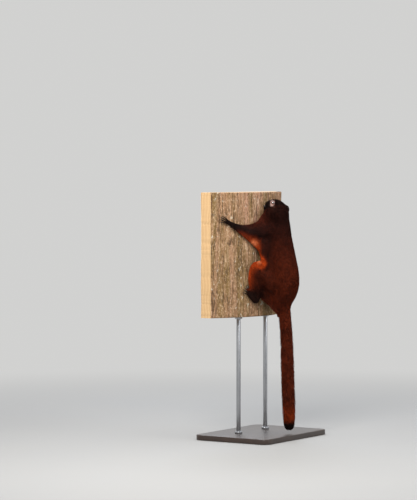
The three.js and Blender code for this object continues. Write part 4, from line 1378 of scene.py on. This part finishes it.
def carve_perch(settings, finishes):
    """The slab: a bark face, sawn ends, sides and back."""
    low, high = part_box("perch_trunk")
    half_arc, edge_y = SLAB_HALF_TURN * TRUNK_RADIUS, high.y
    columns, rows = int(2 * half_arc / settings.bark_step), int((high.z - low.z) / MM / settings.bark_step)
    perch = primitive("grid", x_subdivisions=columns, y_subdivisions=rows, size=2)
    flat = points_of(perch.data)
    arc, z = flat[:, 0] * half_arc, (low.z + (flat[:, 1] + 1) / 2 * (high.z - low.z)) / MM
    cut = fissures(arc, z)
    from_side = np.clip((half_arc - np.abs(arc)) / 5, 0, 1)
    from_end = np.clip(np.minimum(z - low.z / MM, high.z / MM - z) / 4, 0, 1)
    inset = from_side * from_end
    r = TRUNK_RADIUS + bark_relief(arc, z) + cut - 2.2 * (1 - inset) ** 2
    turn = arc / TRUNK_RADIUS
    face = np.stack([-r * np.sin(turn), BARK_Y + TRUNK_RADIUS - r * np.cos(turn), z], 1) * MM
    put_points(perch.data, face)
    only(perch)
    bpy.ops.object.mode_set(mode="EDIT")
    bpy.ops.mesh.select_all(action="SELECT")
    bpy.ops.mesh.region_to_loop()
    bpy.ops.mesh.extrude_edges_move()
    bpy.ops.object.mode_set(mode="OBJECT")
    points = points_of(perch.data)
    rim = np.arange(len(face), len(points))
    points[rim, 1] = edge_y
    put_points(perch.data, points)
    bpy.ops.object.mode_set(mode="EDIT")
    bpy.ops.mesh.edge_face_add()
    bpy.ops.mesh.select_all(action="SELECT")
    bpy.ops.mesh.quads_convert_to_tris(quad_method="BEAUTY", ngon_method="BEAUTY")
    bpy.ops.object.mode_set(mode="OBJECT")
    face_outwards(perch, 1e-7)
    depth = np.zeros(len(perch.data.vertices))
    count = min(len(face), len(depth))
    depth[:count] = cut[:count]
    write_field(perch.data, "crack", np.clip(-depth / 3, 0, 1))
    finish_piece(perch, "perch_slab", None, ["perch_trunk"], smooth=35)
    perch.data.materials.clear()
    for one in finishes:
        perch.data.materials.append(one)
    at_back = points_of(perch.data)[:, 1] > edge_y - 1e-5
    sawn = []
    for polygon in perch.data.polygons:
        cut_flat = any(at_back[i] for i in polygon.vertices)
        sawn.append((2 if abs(polygon.normal.z) > 0.9 else 1) if cut_flat else 0)
    perch.data.polygons.foreach_set("material_index", np.array(sawn, np.int32))
    return perch


def bark_finish(colours):
    """Weathered bark: olive and pinkish bands down the trunk, fine speckle, dark pits and some lichen."""
    finish = Finish("weathered bark", Specular_IOR_Level=0.15)
    bands = finish.noise(30, (1, 1, 0.1), detail=3, roughness=0.5, warp=0.3)
    streaks = finish.noise(130, (1, 1, 0.11), detail=4, roughness=0.6, warp=0.3)
    flecks = finish.noise(200, (1, 1, 0.5), detail=5, roughness=0.8)
    grit = finish.noise(900, (1, 1, 0.7), detail=3, roughness=0.7)
    lichen = finish.noise(55, (1, 1, 0.7), detail=6, roughness=0.7)
    pits = finish.node("ShaderNodeTexVoronoi", {"feature": "F1"},
                       {"Vector": finish.place((1, 1, 0.7)), "Scale": 150, "Randomness": 1.0})
    colour = finish.mix(bands.band(0.36, 0.6), colours.bark_olive, colours.bark)
    colour = finish.mix(bands.band(0.56, 0.72) * 0.7, colour, colours.bark_pink)
    colour = finish.mix((1 - streaks).band(0.5, 0.68) * 0.7, colour, colours.bark_dark)
    colour = finish.mix(streaks.band(0.55, 0.7) * 0.5, colour, colours.bark_pale)
    colour = finish.mix(flecks.band(0.52, 0.64) * 0.8, colour, colours.bark_pale)
    colour = finish.mix((1 - flecks).band(0.53, 0.64) * 0.85, colour, colours.bark_dark)
    colour = finish.mix(lichen.band(0.6, 0.67) * 0.75, colour, colours.lichen)
    colour = finish.mix((1 - pits).band(0.84, 0.93) * grit.band(0.35, 0.6), colour, linear((40, 30, 20)))
    colour = finish.mix(finish.field("crack").band(0.2, 0.9) * 0.75, colour, linear((52, 38, 26)))
    finish.set("Base Color", colour)
    finish.set("Roughness", 0.82 + 0.16 * flecks)
    finish.bump(streaks * 0.8 + flecks * 0.9 + grit * 0.5, 0.8, 0.0016)
    return finish.material


def sawn_finish(name, colours, rings):
    """Sawn wood, with growth rings on the ends or long grain on the flats."""
    finish = Finish(name, Specular_IOR_Level=0.3)
    centre = (0, -(BARK_Y + TRUNK_RADIUS) * MM, 0)
    place = finish.place((1, 1, 0), move=centre)
    wobble = finish.noise(6, detail=3)
    away = finish.node("ShaderNodeVectorMath", {"operation": "LENGTH"}, {0: place}, output="Value")
    grain = finish.noise(380, (1, 1, 1 if rings else 0.05), detail=4, roughness=0.6)
    year = finish.node("ShaderNodeMath", {"operation": "SINE"}, {0: (away + 0.012 * wobble) * 1250})
    rings_and_grain = (year * 0.5 + 0.5).band(0.1, 0.95) * 0.55 + grain * 0.4
    colour = finish.mix(rings_and_grain, colours.wood, colours.wood_dark)
    if rings:
        colour = finish.mix(away.band(0.366, 0.372), colour, colours.bark_dark)
    finish.set("Base Color", colour)
    finish.set("Roughness", 0.6 + 0.25 * grain)
    finish.bump(grain + 0.4 * year, 0.4, 0.0006)
    return finish.material


def build_base(finish):
    """The stand's flat base, with round corners and a softened edge."""
    low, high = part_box("stand_base")
    size, centre = high - low, (high + low) / 2
    base = settle(primitive("cube", size=1, location=centre, scale=size))
    work = bmesh.new()
    work.from_mesh(base.data)
    upright = [e for e in work.edges if abs(e.verts[0].co.z - e.verts[1].co.z) > size.z / 2]
    bmesh.ops.bevel(work, geom=upright, offset=0.026, segments=10, profile=0.5, affect="EDGES")
    work.to_mesh(base.data)
    work.free()
    soften(base, 0.003, 4)
    return finish_piece(base, "base_board", finish, ["stand_base"], smooth=40)


def board_finish(colours):
    """Dark stained wood with long grain and fine pores under a thin varnish."""
    finish = Finish("stained board", Coat_Roughness=0.22, Coat_Weight=0.35, Specular_IOR_Level=0.45)
    wave = finish.noise(9, (0.25, 1, 1), detail=3, warp=1.2)
    grain = finish.noise(300, (0.03, 1, 1), detail=5, roughness=0.6)
    pores = finish.noise(1100, (0.04, 1, 1), detail=2)
    blend = wave.band(0.3, 0.7) * 0.5 + grain.band(0.3, 0.7) * 0.5
    colour = finish.mix(blend, colours.board_dark, colours.board)
    colour = finish.mix(pores.band(0.6, 0.7) * 0.6, colour, (0.01, 0.007, 0.005, 1))
    finish.set("Base Color", colour)
    finish.set("Roughness", 0.34 + 0.2 * grain)
    finish.bump(grain - pores.band(0.6, 0.7) * 0.5, 0.2, 0.0004)
    return finish.material


def build_rod(word, finish):
    """A round steel rod with a foot collar and a head collar."""
    node = "stand_rod_" + word
    low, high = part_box(node)
    centre, radius = (low + high) / 2, (high.x - low.x) / 2
    rod = settle(primitive("cylinder", vertices=48, radius=radius, depth=high.z - low.z, location=centre))
    soften(rod, 0.0006, 2)
    collars = []
    for z in (low.z + COLLAR_HEIGHT / 2, high.z - COLLAR_HEIGHT / 2):
        place = (centre.x, centre.y, z)
        collar = settle(primitive("cylinder", vertices=48, radius=radius + COLLAR_RIM, depth=COLLAR_HEIGHT,
                                  location=place))
        soften(collar, 0.0014, 3)
        collars.append(collar)
    return finish_piece(join([rod, *collars]), f"rod_{word}", finish, [node], smooth=35)


def steel_finish():
    """Steel brushed along its length."""
    finish = Finish("brushed steel", Metallic=1.0)
    brush = finish.noise(900, (1, 1, 0.02), detail=3)
    stain = finish.noise(40, detail=3)
    finish.set("Base Color", finish.mix(stain, linear((150, 152, 156)), linear((178, 180, 183))))
    finish.set("Roughness", 0.26 + 0.16 * brush)
    finish.bump(brush, 0.15, 0.0002)
    return finish.material


# Floor, light and camera


# Each lamp: [name, bearing and height in degrees, distance, size, share of the key lamp's power, colour]
LAMPS = (
    ("key lamp", -72, 34, 2.6, 1.1, 1, (1, 0.98, 0.95)),
    ("fill lamp", 10, 18, 3.0, 1.8, 0.35, (0.94, 0.96, 1)),
    ("back lamp", 130, 40, 2.8, 1.4, 0.55, (0.84, 0.9, 1)),
    ("top lamp", 20, 85, 2.4, 1.6, 0.3, (1, 1, 1)),
)


def bearing(azimuth, elevation):
    """The way from the model to a lamp or the camera, from angles in degrees."""
    a, e = math.radians(azimuth), math.radians(elevation)
    return Vector((math.sin(a) * math.cos(e), -math.cos(a) * math.cos(e), math.sin(e)))


def lay_floor(settings):
    """A pale floor that fades into the backdrop's tone."""
    floor = primitive("circle", vertices=96, radius=40, fill_type="NGON", location=(0, 0, -0.0002))
    floor.name = floor.data.name = "studio_floor"
    finish = Finish("pale floor", Specular_IOR_Level=0.1, Roughness=0.9)
    mottle = finish.noise(3, detail=2)
    tone = settings.floor_tone
    finish.set("Base Color", finish.mix(mottle, (tone, tone, tone, 1), (tone * 1.03, tone * 1.02, tone, 1)))
    floor.data.materials.append(finish.material)
    away = finish.node("ShaderNodeVectorMath", {"operation": "LENGTH"}, {0: finish.place()}, output="Value")
    backdrop = finish.node("ShaderNodeEmission", None,
                           {"Color": settings.backdrop, "Strength": settings.backdrop_strength})
    fade = finish.node("ShaderNodeMixShader", None, {0: away.band(0.9, 3.2), 2: backdrop})
    finish.tree.links.new(finish.shader.outputs[0], fade.socket.node.inputs[1])
    finish.tree.links.new(fade.socket, finish.tree.nodes["Material Output"].inputs["Surface"])


def fill_backdrop(settings):
    """An even tone behind the model."""
    world = bpy.data.worlds.new("studio air")
    world.use_nodes = True
    shade = world.node_tree.nodes["Background"]
    shade.inputs["Color"].default_value = settings.backdrop
    shade.inputs["Strength"].default_value = settings.backdrop_strength
    bpy.context.scene.world = world


def hang_lamps(settings):
    """Soft round lamps that face the model."""
    target = Vector((0, BARK_Y * MM, 0.62))
    for name, azimuth, elevation, reach, size, share, colour in LAMPS:
        way = bearing(azimuth, elevation)
        lamp = bpy.data.lights.new(name, "AREA")
        lamp.shape = "DISK"
        lamp.size = size
        lamp.energy = settings.key_power * share
        lamp.color = colour
        holder = bpy.data.objects.new(name, lamp)
        holder.location = target + way * reach
        holder.rotation_euler = (-way).to_track_quat("-Z", "Y").to_euler()
        bpy.context.scene.collection.objects.link(holder)


def aim_camera(settings):
    """A long lens with the photograph's view."""
    azimuth = math.radians(settings.view_azimuth)
    back = bearing(settings.view_azimuth, settings.view_elevation)
    right = Vector((math.cos(azimuth), math.sin(azimuth), 0))
    aim = Vector((0, BARK_Y * MM, settings.view_height)) + right * settings.view_shift
    lens = bpy.data.cameras.new("long lens")
    lens.sensor_width = 36
    lens.lens = 36 * settings.view_distance / settings.view_span
    lens.clip_end = 200
    camera = bpy.data.objects.new("camera", lens)
    camera.location = aim + back * settings.view_distance
    camera.rotation_euler = (-back).to_track_quat("-Z", "Y").to_euler()
    bpy.context.scene.collection.objects.link(camera)
    bpy.context.scene.camera = camera
    bpy.context.scene.view_settings.view_transform = "Standard"


def set_stage(settings):
    """The floor, the backdrop, the lamps and the camera."""
    lay_floor(settings)
    fill_backdrop(settings)
    hang_lamps(settings)
    aim_camera(settings)


# Settings that a user would change


def colour_setting(name, description, rgb):
    return FloatVectorProperty(name=name, description=description, default=linear(rgb), size=4,
                               subtype="COLOR", min=0, max=1)


def length_setting(name, description, default):
    return FloatProperty(name=name, description=description, default=default, min=0, unit="LENGTH")


class ColourSettings(bpy.types.PropertyGroup):
    back: colour_setting("Back", "Dark mahogany of the back and neck", (37, 15, 11))
    rump: colour_setting("Rump", "Redder fur of the rump and tail", (92, 35, 17))
    # The flank colour paints the shade in the fold from the arm down the flank, and a little grey on the
    # thighs and shanks.
    flank: colour_setting("Flank", "Grey-brown band along the flank and arm", (31, 20, 18))
    membrane: colour_setting("Membrane", "Orange underside and rolled edge of the membranes", (172, 62, 18))
    # The glow is the colour of the painted highlight on the membrane below the arm and in the knee's curl.
    glow: colour_setting("Glow", "Lightest spot of the membrane below the arm", (232, 136, 88))
    # The points colour also paints the shade in the knee's folds.
    points: colour_setting("Points", "Near-black hands, feet, face and tail tip", (20, 12, 9))
    # The eye ring's colour is partly pale hair and partly a painted highlight.
    ring: colour_setting("Eye ring", "Pale short hair round the eye", (226, 188, 176))
    eye: colour_setting("Eye", "Darker streaks of the mauve-brown iris", (64, 38, 34))
    eye_light: colour_setting("Eye light", "Lighter streaks of the iris", (118, 78, 72))
    # The lids' pale pink is partly their skin and partly a painted highlight.
    lids: colour_setting("Lids", "Pale pink skin of the lids", (222, 174, 156))
    lid_shade: colour_setting("Lid shade", "Dark wet edge of the lids", (70, 40, 34))
    nose: colour_setting("Nose", "Bare skin of the nose", (40, 26, 23))
    bark: colour_setting("Bark", "Main tone of the bark", (146, 112, 84))
    bark_olive: colour_setting("Bark olive", "Olive-brown bands of the bark", (116, 92, 56))
    bark_dark: colour_setting("Bark shade", "Brown streaks of the bark", (84, 62, 42))
    bark_pale: colour_setting("Bark light", "Pale flecks of the bark", (184, 158, 132))
    bark_pink: colour_setting("Bark pink", "Pinkish bands of the bark", (164, 122, 104))
    lichen: colour_setting("Lichen", "Grey-white lichen crusts", (190, 184, 166))
    wood: colour_setting("Wood", "Pale sawn wood", (206, 176, 132))
    wood_dark: colour_setting("Wood rings", "Dark part of the growth rings", (158, 118, 78))
    board: colour_setting("Board", "Stained wood of the base", (58, 40, 30))
    board_dark: colour_setting("Board grain", "Dark grain of the base", (30, 20, 15))


class SkinSettings(bpy.types.PropertyGroup):
    voxel: length_setting("Voxel", "Size of the skin's first mesh", 0.0014)
    triangles: IntProperty(name="Triangles", description="Triangles of the skin", default=180000)
    overlap: length_setting("Overlap", "How far each solid is grown before they are fused", 0.0005)
    smoothing: IntProperty(name="Smoothing", description="Rounds of smoothing on the skin", default=9)
    tail_core: FloatProperty(name="Tail core", description="The core's share of the tail's coat",
                             default=0.45)


class CoatSettings(bpy.types.PropertyGroup):
    spacing: FloatProperty(name="Spacing", description="Scale of the space between tufts", default=1.0)
    length: FloatProperty(name="Length", description="Scale of the tufts' length", default=1.0)
    lock_share: FloatProperty(name="Locks", description="Share of the tufts that lead a lock", default=0.06)
    tail_tufts: IntProperty(name="Tail tufts", description="Number of tufts on the tail", default=12000)
    tail_length: length_setting("Tail tuft length", "Length of a tuft on the tail", 0.032)
    tail_width: length_setting("Tail tuft width", "Width of a tuft on the tail", 0.0018)


class PerchSettings(bpy.types.PropertyGroup):
    bark_step: FloatProperty(name="Bark step", description="Millimetres between points of the bark",
                             default=1.75)


class StageSettings(bpy.types.PropertyGroup):
    backdrop: FloatVectorProperty(name="Backdrop", description="Tone behind the model", size=4,
                                  subtype="COLOR", default=(0.80, 0.80, 0.79, 1))
    backdrop_strength: FloatProperty(name="Backdrop strength", description="Light of the backdrop",
                                     default=0.8)
    floor_tone: FloatProperty(name="Floor tone", description="Tone of the floor", default=0.33)
    key_power: FloatProperty(name="Key power", description="Power of the main lamp", default=84, unit="POWER")
    view_azimuth: FloatProperty(name="View azimuth", description="Camera's bearing, in degrees", default=-57)
    view_elevation: FloatProperty(name="View elevation", description="Camera's height angle", default=2)
    view_distance: length_setting("View distance", "From the camera to the model", 9)
    view_span: length_setting("View span", "What the frame's height takes in", 1.875)
    view_height: length_setting("View height", "Height of the frame's middle", 0.705)
    view_shift: FloatProperty(name="View shift", description="Frame's middle, to the right", default=-0.216,
                              unit="LENGTH")


SETTINGS = {
    "squirrel_colours": ColourSettings, "squirrel_skin": SkinSettings, "squirrel_coat": CoatSettings,
    "squirrel_perch": PerchSettings, "squirrel_stage": StageSettings,
}


# Operators


class SQUIRREL_OT_stage(bpy.types.Operator):
    """Sets the floor, the lamps and the camera"""

    bl_idname = "squirrel.stage"
    bl_label = "Set the stage"

    def execute(self, context):
        set_stage(context.scene.squirrel_stage)
        return {"FINISHED"}


class SQUIRREL_OT_perch(bpy.types.Operator):
    """Carves the slab of trunk with its bark"""

    bl_idname = "squirrel.perch"
    bl_label = "Carve the perch"

    def execute(self, context):
        colours = context.scene.squirrel_colours
        finishes = [bark_finish(colours), sawn_finish("sawn flats", colours, False),
                    sawn_finish("sawn ends", colours, True)]
        carve_perch(context.scene.squirrel_perch, finishes)
        return {"FINISHED"}


class SQUIRREL_OT_stand(bpy.types.Operator):
    """Builds the display stand's base and rods"""

    bl_idname = "squirrel.stand"
    bl_label = "Build the stand"

    def execute(self, context):
        build_base(board_finish(context.scene.squirrel_colours))
        steel = steel_finish()
        for word in SIDES:
            build_rod(word, steel)
        return {"FINISHED"}


class SQUIRREL_OT_skin(bpy.types.Operator):
    """Models one skin over all the flesh"""

    bl_idname = "squirrel.skin"
    bl_label = "Model the skin"

    def execute(self, context):
        finish = coat_finish("fur ground", context.scene.squirrel_colours, is_skin=True)
        model_skin(context.scene.squirrel_skin, finish)
        return {"FINISHED"}


class SQUIRREL_OT_face(bpy.types.Operator):
    """Models the eyes, lids, nose, lips and whiskers"""

    bl_idname = "squirrel.face"
    bl_label = "Model the face"

    def execute(self, context):
        colours = context.scene.squirrel_colours
        eye = eye_finish(colours)
        lids = lid_finish(colours)
        nose = skin_finish("nose skin", list(colours.nose), linear((24, 16, 14)), 0.35)
        for word, side in SIDES.items():
            model_eye(word, side, eye)
            model_lids(word, side, lids)
        model_nose(nose)
        model_lips(nose)
        grow_whiskers(claw_finish())
        return {"FINISHED"}


class SQUIRREL_OT_claws(bpy.types.Operator):
    """Models the claws of hands and feet"""

    bl_idname = "squirrel.claws"
    bl_label = "Model the claws"

    def execute(self, context):
        horn = claw_finish()
        for kind in DIGITS:
            for word, side in SIDES.items():
                model_claws(kind, word, side, horn)
        return {"FINISHED"}


class SQUIRREL_OT_coat(bpy.types.Operator):
    """Lays the fur in tufts over the skin"""

    bl_idname = "squirrel.coat"
    bl_label = "Lay the coat"

    def execute(self, context):
        skin = bpy.data.objects.get("skin")
        if skin is None:
            raise RuntimeError("model the skin before the coat")
        finish = coat_finish("fur", context.scene.squirrel_colours)
        pelt = Pelt(skin)
        for seed, (name, owners) in enumerate(COAT_PIECES.items()):
            lay_coat(pelt, name, owners, context.scene.squirrel_coat, finish, 100 + seed)
        return {"FINISHED"}


class SQUIRREL_OT_tail_coat(bpy.types.Operator):
    """Hangs the long fur of the tail"""

    bl_idname = "squirrel.tail_coat"
    bl_label = "Hang the tail's coat"

    def execute(self, context):
        finish = coat_finish("tail fur", context.scene.squirrel_colours)
        hang_tail_coat(context.scene.squirrel_coat, context.scene.squirrel_skin.tail_core, finish)
        return {"FINISHED"}


STEPS = (SQUIRREL_OT_stage, SQUIRREL_OT_perch, SQUIRREL_OT_stand, SQUIRREL_OT_skin, SQUIRREL_OT_face,
         SQUIRREL_OT_claws, SQUIRREL_OT_coat, SQUIRREL_OT_tail_coat)


class SQUIRREL_PT_panel(bpy.types.Panel):
    """Lists the steps that make the model"""

    bl_idname = "SQUIRREL_PT_panel"
    bl_label = "Flying Squirrel"
    bl_space_type = "VIEW_3D"
    bl_region_type = "UI"
    bl_category = "Squirrel"

    def draw(self, context):
        for step in STEPS:
            self.layout.operator(step.bl_idname)


def register():
    for group in (*SETTINGS.values(), *STEPS, SQUIRREL_PT_panel):
        bpy.utils.register_class(group)
    for name, group in SETTINGS.items():
        setattr(bpy.types.Scene, name, PointerProperty(type=group))


def unregister():
    for name in SETTINGS:
        delattr(bpy.types.Scene, name)
    for group in (SQUIRREL_PT_panel, *STEPS, *SETTINGS.values()):
        bpy.utils.unregister_class(group)


def main():
    register()
    for step in STEPS:
        group, name = step.bl_idname.split(".")
        getattr(getattr(bpy.ops, group), name)()


if __name__ == "__main__":
    main()
